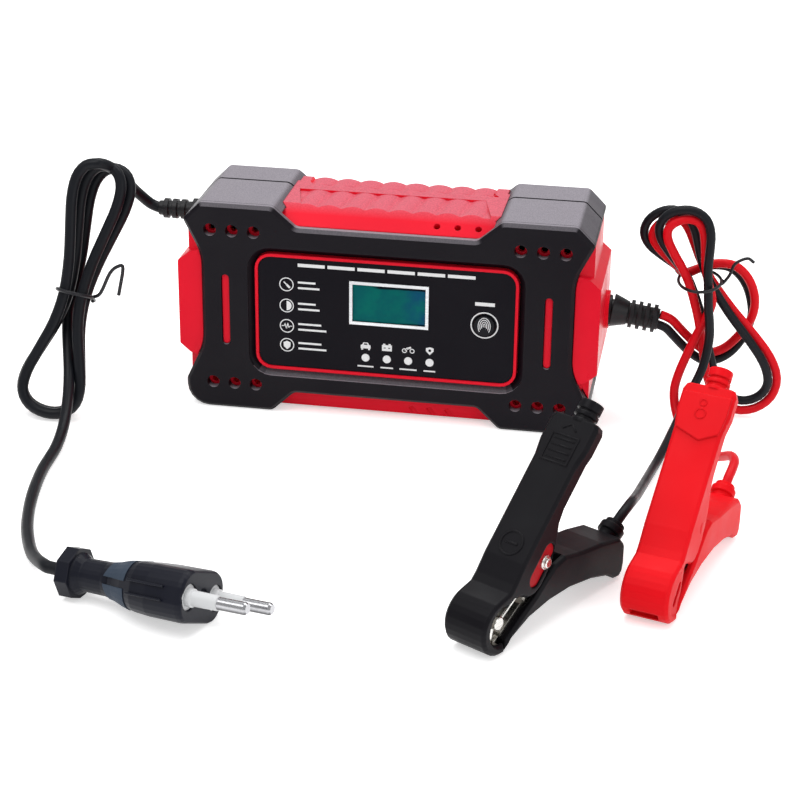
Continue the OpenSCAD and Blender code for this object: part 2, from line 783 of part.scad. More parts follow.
// Output hank, its turns climbing towards the front
dc_h = [[133.5, 22, 62], [0, 0, 1], [1, 0, 0], [0, -1, 0],
    33.5, 62, 4, 12, 17.6, -53.2, 2 * lead_d + 0.9, 1, 11.5];
dc_t0 = 0.8;
dc_t1 = 2.25;
dc_n = round((dc_t1 - dc_t0) * RINGS);
dc_line = hank_line(dc_h, dc_t0, dc_t1, dc_n);
pair_gap_d = lead_d + 0.5;

// The two leads of the pair wind once round each other in each turn
function dc_pair(side) = [for (i = [0 : dc_n])
    let (t = tangent(dc_line, i), n = unit(cross(dc_h[3], t)), w = cross(t, n),
        a = 360 * (dc_t0 + (dc_t1 - dc_t0) * i / dc_n - 0.5))
    dc_line[i] + side * pair_gap_d / 2 * (cos(a) * n + sin(a) * w)];
red_coil = dc_pair(1);
black_coil = dc_pair(-1);

echo(mains_hank_gap = self_gap(mains_coil, mains_d, 8));
echo(red_hank_gap = self_gap(red_coil, lead_d, 8));
echo(black_hank_gap = self_gap(black_coil, lead_d, 8));
echo(pair_gap = pair_gap(red_coil, black_coil, lead_d));

module mains_hank() { color(BLACK) tube(mains_coil, mains_d, 6); }
module red_hank() { color(RED) tube(red_coil, lead_d, 6); }
module black_hank() { color(BLACK) tube(black_coil, lead_d, 6); }

// ---- where the plug and the clamps lie ----

plug_turn = -15.6;
plug_tilt = 3.3;
plug_roll = -27;
plug_at = [-89.3, -203.4, 8.8];
plug_dir = [cos(plug_turn) * cos(plug_tilt), sin(plug_turn) * cos(plug_tilt), sin(plug_tilt)];

black_at = [65.8, -220.4, 0];
black_turn = 60.3;
red_at = [126.3, -187.4, 0];
red_turn = 74;
collar_tip = [91.5, 0, 17];
collar_lean = 60;
function clamp_way(turn) = [sin(collar_lean) * cos(turn), sin(collar_lean) * sin(turn),
    cos(collar_lean)];
function from_clamp(at, turn, p) = at + [p.x * cos(turn) - p.y * sin(turn),
    p.x * sin(turn) + p.y * cos(turn), p.z];
black_collar = from_clamp(black_at, black_turn, collar_tip);
red_collar = from_clamp(red_at, red_turn, collar_tip);

// ---- free stretches of the cords ----

mains_start = smooth_line([ac_tip, ac_tip + [-4.5, -0.6, 2], [-120, 1, 90], [-123.5, -9, 100.5],
    mains_coil[0] + [3, 2.4, -1.2], mains_coil[0]], 2);

// The far end of the mains hank goes on along the floor to the plug
mains_end = mains_coil[len(mains_coil) - 1];
mains_out = unit(mains_end - mains_coil[len(mains_coil) - 2]);
mains_rest = smooth_line([mains_end, mains_end + 9 * mains_out, [-141.5, -37.5, 32],
    [-138, -48, 22], [-135, -60, 13], [-132.5, -75, 6], [-131, -91, 2.9], [-130, -110, 2.6],
    [-126, -135, 2.6],
    [-119, -161, 2.6], [-109, -184, 4], [-99, -199, 8], plug_at - 6 * plug_dir,
    plug_at], 2);

module mains_cord() { color(BLACK) tube(mains_start, mains_d, 8); }
module mains_tail() { color(BLACK) tube(mains_rest, mains_d, 8); }

// An oval loop of thin tie round a bundle, with one loose end; axes u and v
module tie(c, u, v, a, b, d, tail_points) {
    loop = [for (k = [0 : 18]) let (q = 20 * k) c + a * cos(q) * u + b * sin(q) * v
        + (k / 18 - 0.5) * 1.2 * d * cross(u, v)];
    tube(concat(loop, [for (p = tail_points) loop[18] + p]), d, 8);
}

module mains_tie() {
    color("#2a2a2c") tie(mains_h[0] - mains_step * -7.2, mains_across, mains_step, 8.2, 11.2,
        1.6, [[4, -2, 3], [9, -3, 13], [13, -3, 16.5], [15, -3, 15.5], [12.5, -3, 3]]);
}

// The two output leads from the gland to the start of their hank, side by side
lead_in = smooth_line([dc_tip, dc_tip + [5, 1, -2.5], [128.5, 12, 33], [138.5, 16, 24.5],
    [149, 19, 28.5], [157, 21, 43], [155, 22, 57], [147, 21, 66], [136, 19, 66.5],
    dc_line[0] - 5 * tangent(dc_line, 0), dc_line[0]], 2);

function lead_in_pair(side) = let (n = len(lead_in) - 1)
    [for (i = [0 : n])
        let (t = tangent(lead_in, i), o = unit(cross(t, [0, -1, 0])), k = i / n,
            last = (side > 0 ? red_coil : black_coil)[0] - dc_line[0],
            first = side * pair_gap_d / 2 * unit([0, 0.35, 1]),
            blend = first * (1 - k) + last * k, flat = blend - (blend * t) * t)
        lead_in[i] + pair_gap_d / 2 * unit(flat)];

red_end = red_coil[dc_n];
black_end = black_coil[dc_n];
red_rest = smooth_line([red_end, red_end + 9 * tangent(red_coil, dc_n), [134.5, 4, 41],
    [129.5, 0, 29], [126, -5, 17], [128, -12, 7.5], [133.5, -24, 2.9],
    [141, -42, 4], [147.5, -60, 11], [152.5, -74, 18.5], [154.4, -86, 21.5],
    red_collar + 5 * clamp_way(red_turn), red_collar], 2);
black_rest = smooth_line([black_end, black_end + 9 * tangent(black_coil, dc_n),
    [139.5, -0.5, 41], [137.5, -4, 27], [132.5, -11, 16], [128, -25, 7.5], [123.5, -45, 3],
    [120.8, -62, 3.5], [118.4, -88, 8.5], [117.2, -112, 15.5], [116, -128, 20.3],
    black_collar + 5 * clamp_way(black_turn), black_collar], 2);

module red_lead() { color(RED) tube(lead_in_pair(1), lead_d, 8); }
module black_lead() { color(BLACK) tube(lead_in_pair(-1), lead_d, 8); }
module red_clamp_lead() { color(RED) tube(red_rest, lead_d, 8); }
module black_clamp_lead() { color(BLACK) tube(black_rest, lead_d, 8); }

module lead_tie() {
    color("#2a2a2c") tie(dc_h[0] + [0, -13.4, 1], [1, 0, 0], [0, -1, 0], 9.5, 15.5, 1.4,
        [[3, 1, 4], [5, 2, 9], [10, 3, 11.5], [13, 4, 9.5]]);
}

// ---- mains plug, its own +X towards the pins ----

module at_plug() {
    translate(plug_at) rotate([0, -plug_tilt, plug_turn]) rotate([plug_roll, 0, 0]) children();
}

// Stations along the plug: distance, half width, half height, corner share
plug_stations = [[0, 4.2, 4.2, 1], [2, 7.8, 7.8, 1], [8, 8, 8, 1], [10.5, 6.3, 6.3, 1],
    [20, 6.6, 6.5, 1], [26, 8.6, 7.3, 0.98], [31, 11.2, 8.5, 0.92], [37, 13.6, 9.4, 0.85],
    [44, 14.8, 9.8, 0.8], [plug_l - 2.4, 15.2, 9.9, 0.78], [plug_l - 1, 15, 9.7, 0.78],
    [plug_l, 14.4, 9.1, 0.78]];
// How far the white bases of the pins stand out of the face
base_out = 4.5;

function section(s, sides) = let (r = s[3] * min(s[1], s[2]))
    [for (k = [0 : sides - 1]) let (a = 360 * (k + 0.5) / sides, c = cos(a), e = sin(a))
        [s[0], sign(c) * (s[1] - r) + r * c, sign(e) * (s[2] - r) + r * e]];

module loft(stations, sides) {
    points = [for (s = stations) each section(s, sides)];
    n = len(stations) - 1;
    polyhedron(points, concat(
        [[for (k = [0 : sides - 1]) k]],
        [for (i = [0 : n - 1], k = [0 : sides - 1]) let (a = i * sides, b = (k + 1) % sides)
            each [[a + k, a + sides + k, a + b], [a + b, a + sides + k, a + sides + b]]],
        [[for (k = [sides - 1 : -1 : 0]) n * sides + k]]));
}

function swollen(d) = [for (s = plug_stations) [s[0], s[1] + d, s[2] + d, s[3]]];

module plug_body() {
    color(BLACK) at_plug() difference() {
        union() {
            loft(plug_stations, 24);
            // flats of the flange at the cord's end
            translate([2, 0, 0]) rotate([0, 90, 0]) rotate(22.5) cylinder(d = 20, h = 5.5, $fn = 8);
        }
        for (s = [-1, 1]) translate([plug_l - 6, s * pin_gap / 2, 0]) rotate([0, 90, 0])
            cylinder(d = 10, h = 12);
        translate([plug_l - 1, 0, 0]) rotate([0, 90, 0]) cylinder(d = 7, h = 3);
        translate([18, -9, -3]) cube([6, 2.2, 6]);
    }
}

module plug_pins() {
    color(STEEL) at_plug() for (s = [-1, 1]) translate([plug_l - 6, s * pin_gap / 2, 0])
        rotate([0, 90, 0]) {
            cylinder(d = pin_d - 0.6, h = 6.5 + base_out);
            translate([0, 0, 6.5 + base_out]) cylinder(d = pin_d, h = pin_l - 1);
            translate([0, 0, 5.5 + base_out + pin_l]) cylinder(d1 = pin_d, d2 = pin_d - 1.2, h = 1);
        }
}

module pin_bases() {
    color("#e9e9e6") at_plug() for (s = [-1, 1]) translate([plug_l - 6, s * pin_gap / 2, 0])
        rotate([0, 90, 0]) difference() {
            union() {
                cylinder(d = 9.6, h = 5);
                cylinder(d1 = 7, d2 = 5.8, h = 6 + base_out);
            }
            translate([0, 0, -1]) cylinder(d = pin_d - 0.6, h = 9 + base_out);
        }
}

module plug_grips() {
    color("#46586a") at_plug() difference() {
        intersection() {
            loft(swollen(0.3), 24);
            for (s = [-1, 1], t = [-1, 1]) scale([1, s, t]) translate([0, 17, 0])
                rotate([90, 0, 0]) linear_extrude(14)
                    polygon([[21.5, 1.4], [33.5, 1.4], [34.5, 14], [26, 14]]);
        }
        loft(swollen(-0.5), 24);
    }
}

// ---- battery clamps: +X from nose to handle, +Z up, lower arm on the floor ----

mouth = [9, 11];
pivot = [33, 27.3];
function half_w(x) = jaw_w / 2;
function arc(c, r, a0, a1, n) = [for (k = [0 : n]) let (a = a0 + (a1 - a0) * k / n)
    c + r * [cos(a), sin(a)]];

upper_side = rev(concat([for (p = arc([0, 0], 11, -84, -262, 14)) mouth + [p.x < 0 ? 1.09 * p.x : p.x, p.y]],
    [[12.3, 22.9], [14.8, 25.2],
    [17.4, 28.3], [20, 31.5], [59.2, 70.7], [61.2, 70.9], [64.7, 66.9], [64.7, 65.7],
    [43.5, 44.4], [41, 40], [40, 33], [38, 27.5], [34, 21.5], [30.5, 18], [27, 16.4],
    [23.5, 16.4], [19.5, 18.6], [15.5, 19.4]], arc(mouth, mouth_r, 66, 276, 12)));
lower_side = [[10.5, 0.6], [14, 4], [24, 8], [36, 9.8], [50, 9.8], [64, 7.6], [74, 4.6],
    [79, 1.4], [82, 0.9], [84.2, 3], [85, 7], [85, 14], [82, 17.5], [70, 20.2], [55, 22.4],
    [46, 24.4], [40, 23.2], [34, 19.4], [28, 14.8], [22.4, 11.84], [20, 10.4], [11, 4.6]];

// A body from its side outline, tapering in width, with edges bevelled by b
module tapered(p, b) {
    n = len(p);
    q = inset(p, b);
    rows = [for (s = [-1, 1]) [for (v = q) [v.x, s * half_w(v.x), v.y]]];
    rims = [for (s = [-1, 1]) [for (v = p) [v.x, s * (half_w(v.x) - b), v.y]]];
    points = concat(rows[0], rims[0], rims[1], rows[1]);
    flat = fill(q);
    polyhedron(points, concat([for (f = flat) rev(f)],
        [for (k = [0 : 2], i = [0 : n - 1]) let (j = (i + 1) % n)
            each [[k * n + i, k * n + j, k * n + n + i], [k * n + j, k * n + n + j, k * n + n + i]]],
        [for (f = flat) [for (i = f) 3 * n + i]]));
}

module side_plate(y0, y1, p) {
    translate([0, y1, 0]) rotate([90, 0, 0]) linear_extrude(y1 - y0) polygon(p);
}

inside_w = 7.2;

module along_handle() {
    translate([20, 0, 31.5]) rotate([0, -45, 0]) children();
}

module slot_shape(w, l) {
    rotate([0, 0, -45]) upright_slot(w, l);
}

slot_c = [30.8, 26.9];
slot_floor = jaw_w / 2 - 1.2;

module clamp_stub() {
    translate([59.8, -1.2, 65.3]) rotate([0, 45, 0]) {
        cylinder(d = 7.6, h = 12);
        for (k = [0 : 1]) translate([0, 0, 5 + 3 * k]) cylinder(d = 9.4, h = 1.5);
        translate([0, 0, 10.6]) cylinder(d = 9.2, h = 3.4);
    }
}

// Stations of the flare at the handle's end: distance along it and half width
flare = [[34, jaw_w / 2 - 0.6], [40, jaw_w / 2 + 0.1], [47, handle_w / 2], [55.5, handle_w / 2],
    [57.8, handle_w / 2 - 1]];

module handle_flare() {
    sides = 8;
    points = [for (s = flare) let (w = s[1], low = -6.75, c = 1.35)
        for (p = [[w - c, 0], [w, -c], [w, low + c], [w - c, low], [c - w, low], [-w, low + c],
            [-w, -c], [c - w, 0]]) [s[0], p.x, p.y]];
    n = len(flare) - 1;
    along_handle() polyhedron(points, concat(
        [[for (k = [sides - 1 : -1 : 0]) k]],
        [for (i = [0 : n - 1], k = [0 : sides - 1]) let (a = i * sides, b = (k + 1) % sides)
            [a + k, a + b, a + sides + b, a + sides + k]],
        [[for (k = [0 : sides - 1]) n * sides + k]]));
}

module upper_cover() {
    difference() {
        union() {
            tapered(upper_side, 1.1);
            handle_flare();
            clamp_stub();
        }
        side_plate(-inside_w, inside_w, [[9, 19.8], [13.4, 21], [22, 29.3], [60, 67.6],
            [67, 60], [50, 40], [43, 25], [34, 9], [20, 7], [9, 11]]);
        translate([mouth.x, inside_w, mouth.y]) rotate([90, 0, 0])
            cylinder(r = mouth_r + 1.3, h = 2 * inside_w);
        translate([pivot.x, 20, pivot.y]) rotate([90, 0, 0]) cylinder(d = pivot_d + 0.1, h = 40);
        children();
    }
}

module black_upper_cover() {
    color(BLACK) at_black() upper_cover() {
        for (s = [-1, 1]) translate([0, s * (slot_floor + 2), 0]) rotate([90, 0, 0])
            linear_extrude(4, center = true) translate(slot_c) slot_shape(7, 18);
    }
}

collar_root = collar_tip - 11 * clamp_way(0);

// Coloured strips in the slots, with the ends of the pin showing through them
module black_inlays() {
    color(RED) at_black() for (s = [-1, 1]) translate([0, s * (slot_floor + 0.25), 0])
        rotate([90, 0, 0]) linear_extrude(0.5, center = true) difference() {
            translate(slot_c) slot_shape(6.6, 17.6);
            translate(pivot) circle(d = pivot_d + 0.4);
        }
}

module lower_cover() {
    difference() {
        union() {
            tapered(lower_side, 1);
            translate(collar_root) rotate([0, collar_lean, 0]) {
                cylinder(d = 8, h = norm(collar_tip - collar_root));
                translate([0, 0, 6]) cylinder(d = 10, h = 3);
            }
        }
        translate([23, -6.8, 12.2]) cube([23, 13.6, 14]);
    }
}

ear_t = 1.1;
upper_ear_y = 6.5;
lower_ear_y = 5.2;

module ears(y, p, r, bore) {
    for (s = [-1, 1]) translate([0, s * y, 0]) difference() {
        union() {
            side_plate(-ear_t / 2, ear_t / 2, p);
            translate([pivot.x, ear_t / 2, pivot.y]) rotate([90, 0, 0]) cylinder(r = r, h = ear_t);
        }
        translate([pivot.x, ear_t, pivot.y]) rotate([90, 0, 0]) cylinder(d = bore, h = 2 * ear_t);
    }
}

module upper_jaw() {
    color(STEEL) {
        ears(upper_ear_y, [[9, 19.6], [13.4, 20.8], [21.8, 28.8], [30, 32.4], [33, 27.3],
            [31, 21.8], [27.5, 18.2], [24.2, 18.2], [20.2, 20.2], [15.4, 20.4], [9, 18.8]],
            5.4, pivot_d + 0.1);
        side_plate(-upper_ear_y - 0.5, upper_ear_y + 0.5,
            concat(arc(mouth, 8.7, 62, 268, 16), rev(arc(mouth, 7.7, 62, 268, 16))));
        for (y = [-4.6, 0, 4.6]) side_plate(y - 0.9, y + 0.9,
            [[8.6, 2.6], [10.4, 5.6], [7.4, 3.6]]);
    }
}

module lower_jaw() {
    color(STEEL) {
        side_plate(-lower_ear_y - 0.55, lower_ear_y + 0.55, [[11.3, 4.8], [20, 10.4], [23, 12.2],
            [45.6, 12.2], [45.6, 13.4], [22.6, 13.4], [19.4, 11.5], [11.3, 6.3]]);
        ears(lower_ear_y, [[25, 12.5], [45, 12.5], [45, 15], [37.8, 27.3], [33, 27.3],
            [28.2, 27.3]], 4.8, pivot_d);
        for (y = [-4.4, 0, 4.4]) translate([11.5, y, 5.95]) rotate([90, 0, 90])
            linear_extrude(1.2) polygon([[-1.3, 0], [1.3, 0], [0, 2.7]]);
    }
}

module pivot_pin() {
    w = half_w(pivot.x);
    color(STEEL) translate([pivot.x, w - 0.4, pivot.y]) rotate([90, 0, 0])
        cylinder(d = pivot_d, h = 2 * w - 0.8);
}

coil_r = 5;
coil_y = 3.6;
spring_points = concat([[41, -coil_y, 14.6]],
    [for (k = [0 : 39]) let (a = 232 - 1168 * k / 39)
        [pivot.x + coil_r * cos(a), -coil_y + 2 * coil_y * k / 39, pivot.y + coil_r * sin(a)]],
    [[41.9, coil_y, 48]]);

module torsion_spring() {
    color("#9a9ca0") tube(spring_points, wire_d, 6);
}

module at_black() { translate(black_at) rotate([0, 0, black_turn]) children(); }
module at_red() { translate(red_at) rotate([0, 0, red_turn]) children(); }

module black_lower_cover() { color(BLACK) at_black() lower_cover(); }
module black_upper_jaw() { at_black() upper_jaw(); }
module black_lower_jaw() { at_black() lower_jaw(); }
module black_pivot_pin() { at_black() pivot_pin(); }
module black_spring() { at_black() torsion_spring(); }

module red_upper_cover() {
    color(RED) at_red() difference() {
        union() {
            upper_cover();
            // plate over the end of the handle, and cheeks that close the mouth
            along_handle() translate([0, 0, -0.2]) linear_extrude(1)
                polygon([[39.4, jaw_w / 2 - 0.9], [35.5, -1.4], [39, 0.9 - jaw_w / 2],
                    [46, 1 - handle_w / 2], [54, 1 - handle_w / 2], [54, handle_w / 2 - 1],
                    [46, handle_w / 2 - 1]]);
            for (s = [-1, 1]) translate([0, s * 7.97, 0]) side_plate(-0.85, 0.85,
                concat([[16, 19.6], [13, 8.8], [10.8, 6.6]], arc(mouth, 8, -84, -298, 12)));
        }
        for (s = [-1, 1]) translate([0, s * 8, 0]) rotate([90, 0, 0])
            linear_extrude(4, center = true) translate([9, 11]) slot_shape(2.6, 10);
        translate([-1, 0, 5.4]) cube([6, 11, 3], center = true);
    }
}
module red_lower_cover() { color(RED) at_red() lower_cover(); }
module red_upper_jaw() { at_red() upper_jaw(); }
module red_lower_jaw() { at_red() lower_jaw(); }
module red_pivot_pin() { at_red() pivot_pin(); }
module red_spring() { at_red() torsion_spring(); }

front_bumper();
rear_bumper();
front_shell();
rear_shell();
control_panel();
lcd_bezel();
lcd_glass();
mode_button();
tact_switch();
led_lenses();
display_board();
main_board();
transformer_core();
transformer_coil();
heat_sink();
power_transistors();
mains_capacitor();
output_capacitors();
choke();
bridge_rectifier();
fuse();
case_screws();
board_screws();
ac_gland();
dc_gland();
mains_cord();
mains_hank();
mains_tail();
mains_tie();
plug_body();
plug_grips();
plug_pins();
pin_bases();
red_lead();
black_lead();
red_hank();
black_hank();
lead_tie();
red_clamp_lead();
black_clamp_lead();
black_upper_cover();
black_inlays();
black_lower_cover();
black_upper_jaw();
black_lower_jaw();
black_pivot_pin();
black_spring();
red_upper_cover();
red_lower_cover();
red_upper_jaw();
red_lower_jaw();
red_pivot_pin();
red_spring();
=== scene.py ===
import bpy, bmesh, math
from mathutils import Vector, Matrix


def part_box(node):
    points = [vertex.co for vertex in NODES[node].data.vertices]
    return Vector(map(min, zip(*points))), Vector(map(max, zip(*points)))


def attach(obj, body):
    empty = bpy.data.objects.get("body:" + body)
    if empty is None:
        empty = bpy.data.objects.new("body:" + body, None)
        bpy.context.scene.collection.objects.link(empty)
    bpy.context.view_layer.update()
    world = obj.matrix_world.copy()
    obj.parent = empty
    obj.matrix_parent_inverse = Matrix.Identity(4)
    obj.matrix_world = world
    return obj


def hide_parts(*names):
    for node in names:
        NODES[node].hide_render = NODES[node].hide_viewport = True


# Shapes are in mm, in the CAD's frame, and go to metres by MM where a mesh, a curve or a matrix is made.
# The camera, materials, floor and lamps are in metres.
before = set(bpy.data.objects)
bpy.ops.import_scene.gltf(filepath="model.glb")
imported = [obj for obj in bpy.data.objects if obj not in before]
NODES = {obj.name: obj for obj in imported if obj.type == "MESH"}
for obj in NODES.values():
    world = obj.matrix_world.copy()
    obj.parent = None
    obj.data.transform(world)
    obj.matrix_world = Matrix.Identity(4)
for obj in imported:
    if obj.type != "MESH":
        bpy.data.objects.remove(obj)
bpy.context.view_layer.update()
MM = 0.001
SHARP = math.radians(34)  # creases above this stay sharp


def V(*p):
    return Vector(p)


# ---------------------------------------------------------------- camera

AZ, EL, ROLL = math.radians(9.77), math.radians(24.01), math.radians(0.71)
CAMERA_AT = V(0.15086, -0.8630, 0.3879)
back = V(math.sin(AZ) * math.cos(EL), -math.cos(AZ) * math.cos(EL), math.sin(EL))
side = V(math.cos(AZ), math.sin(AZ), 0)
up = back.cross(side)
right = side * math.cos(ROLL) + up * math.sin(ROLL)
top = up * math.cos(ROLL) - side * math.sin(ROLL)
cam_data = bpy.data.cameras.new("camera")
cam_data.lens = 94.5
cam_data.sensor_width = 36
cam_data.clip_end = 20
camera = bpy.data.objects.new("camera", cam_data)
camera.matrix_world = Matrix((
    (right.x, top.x, back.x, CAMERA_AT.x),
    (right.y, top.y, back.y, CAMERA_AT.y),
    (right.z, top.z, back.z, CAMERA_AT.z),
    (0, 0, 0, 1)))
bpy.context.scene.collection.objects.link(camera)
bpy.context.scene.camera = camera


# ---------------------------------------------------------------- materials

def link(t, a, b):
    t.links.new(a, b)


def new_mat(name):
    m = bpy.data.materials.new(name)
    m.use_nodes = True
    t = m.node_tree
    t.nodes.clear()
    out = t.nodes.new("ShaderNodeOutputMaterial")
    p = t.nodes.new("ShaderNodeBsdfPrincipled")
    link(t, p.outputs[0], out.inputs[0])
    return m, t, p


def coords(t):
    return t.nodes.new("ShaderNodeTexCoord").outputs["Object"]


def parts(t, vec):
    """The X, Y and Z outputs of a vector."""
    sep = t.nodes.new("ShaderNodeSeparateXYZ")
    link(t, vec, sep.inputs[0])
    return sep.outputs


def face_up(t):
    """1 on faces that look straight up, 0 on upright ones, -1 on those that look down."""
    return parts(t, t.nodes.new("ShaderNodeNewGeometry").outputs["Normal"])["Z"]


def noise(t, scale, detail=3.0, rough=0.5, vec=None):
    n = t.nodes.new("ShaderNodeTexNoise")
    n.inputs["Scale"].default_value = scale
    n.inputs["Detail"].default_value = detail
    n.inputs["Roughness"].default_value = rough
    link(t, vec if vec is not None else coords(t), n.inputs["Vector"])
    return n.outputs["Fac"]


def remap(t, fac, a, b, lo=0.3, hi=0.7):
    """lo..hi to a..b, held at both ends."""
    r = t.nodes.new("ShaderNodeMapRange")
    r.inputs["From Min"].default_value = lo
    r.inputs["From Max"].default_value = hi
    r.inputs["To Min"].default_value = a
    r.inputs["To Max"].default_value = b
    link(t, fac, r.inputs["Value"])
    return r.outputs["Result"]


def maths(t, op, a, b=0.0, c=0.0):
    n = t.nodes.new("ShaderNodeMath")
    n.operation = op
    for i, v in enumerate((a, b, c)):
        if isinstance(v, (int, float)):
            n.inputs[i].default_value = v
        else:
            link(t, v, n.inputs[i])
    return n.outputs[0]


def mix_col(t, fac, a, b):
    m = t.nodes.new("ShaderNodeMix")
    m.data_type = "RGBA"
    for v, i in ((fac, 0), (a, 6), (b, 7)):
        if isinstance(v, (int, float)):
            m.inputs[i].default_value = v
        elif isinstance(v, (tuple, list)):
            m.inputs[i].default_value = (*v[:3], 1)
        else:
            link(t, v, m.inputs[i])
    return m.outputs[2]


def shade(colour, factor, more=0.0):
    return tuple(min(1, c * factor + more) for c in colour)


def rounded_normal(t, radius, samples):
    b = t.nodes.new("ShaderNodeBevel")
    b.samples = samples
    b.inputs["Radius"].default_value = radius
    return b.outputs[0]


def edge_mask(t, radius):
    """1 on rounded edges, 0 on flat faces."""
    d = t.nodes.new("ShaderNodeVectorMath")
    d.operation = "DOT_PRODUCT"
    link(t, rounded_normal(t, radius, 4), d.inputs[0])
    link(t, t.nodes.new("ShaderNodeNewGeometry").outputs["Normal"], d.inputs[1])
    return remap(t, d.outputs["Value"], 1.0, 0.0, 0.8, 0.99)


def relief(t, p, height, strength, distance, bevel, samples):
    """Grain from height, over edges rounded by bevel, or over the plain ones where bevel is 0."""
    b = t.nodes.new("ShaderNodeBump")
    b.inputs["Strength"].default_value = strength
    b.inputs["Distance"].default_value = distance
    link(t, height, b.inputs["Height"])
    if bevel:
        link(t, rounded_normal(t, bevel, samples), b.inputs["Normal"])
    link(t, b.outputs[0], p.inputs["Normal"])


def plastic(name, base, rough=0.4, var=0.08, grain=900, bump=0.05, bump_dist=0.00008, bevel=0.0004,
            spec=0.12, coat=0.0, metal=0.0, edge=None, blotch=18, sheen=None, sheen_from=0.3,
            sheen_where=None):
    """Moulded plastic: faint blotches, grain, and where asked a painted highlight on rounded edges and a
    painted sheen that makes faces that look up paler.
    """
    m, t, p = new_mat(name)
    col = mix_col(t, remap(t, noise(t, blotch, 4), 0, 1), shade(base, 1 - var), shade(base, 1 + var))
    # painted highlight: rounded edges are painted paler
    if edge:
        col = mix_col(t, maths(t, "MULTIPLY", edge_mask(t, bevel * 1.6), edge), col, shade(base, 1.6, 0.05))
    if sheen:
        # painted sheen: faces that look upwards are painted paler, as fine textured plastic looks under soft
        # light from above
        upward = remap(t, face_up(t), 0, 1, sheen_from, 0.97)
        if sheen_where:
            upward = maths(t, "MULTIPLY", upward, sheen_where(t))
        pale = mix_col(t, remap(t, noise(t, grain, 2), 0, 1), shade(sheen, 0.8), shade(sheen, 1.2))
        col = mix_col(t, upward, col, pale)
    link(t, col, p.inputs["Base Color"])
    link(t, remap(t, noise(t, 60, 5), rough - 0.08, rough + 0.08), p.inputs["Roughness"])
    p.inputs["Metallic"].default_value = metal
    p.inputs["Specular IOR Level"].default_value = spec
    if coat:
        p.inputs["Coat Weight"].default_value = coat
        p.inputs["Coat Roughness"].default_value = 0.12
    relief(t, p, noise(t, grain, 2), bump, bump_dist, bevel, 6)
    return m


def brushed(name, base, rough=0.28, scale=120, bump=0.15, dark_reflection=None):
    """Metal with fine streaks across x; the last argument, where given, paints a dark reflection on it from the
    first height of the normal to the second.
    """
    m, t, p = new_mat(name)
    mp = t.nodes.new("ShaderNodeMapping")
    mp.inputs["Scale"].default_value = (1, 40, 40)
    link(t, coords(t), mp.inputs["Vector"])
    n = noise(t, scale, 4, vec=mp.outputs[0])
    col = mix_col(t, remap(t, n, 0, 1), shade(base, 0.8), base)
    if dark_reflection:
        # painted reflection: a darker tone where the surface turns down towards the bench
        col = mix_col(t, remap(t, face_up(t), 1, 0, *dark_reflection), col, shade(base, 0.16))
    link(t, col, p.inputs["Base Color"])
    p.inputs["Metallic"].default_value = 1.0
    link(t, remap(t, n, rough + 0.12, rough - 0.06), p.inputs["Roughness"])
    relief(t, p, n, bump, 0.00004, 0.0003, 4)
    return m


def top_grip_only(t):
    """Where the red shell's painted sheen goes: 1 on the ribbed top of the housing, 0 on its front slope and
    its side blocks.
    """
    at = parts(t, coords(t))
    back_of_slope = remap(t, at["Y"], 0, 1, -0.0195, -0.0155)
    return maths(t, "MULTIPLY", back_of_slope, remap(t, maths(t, "ABSOLUTE", at["X"]), 1, 0, 0.052, 0.056))
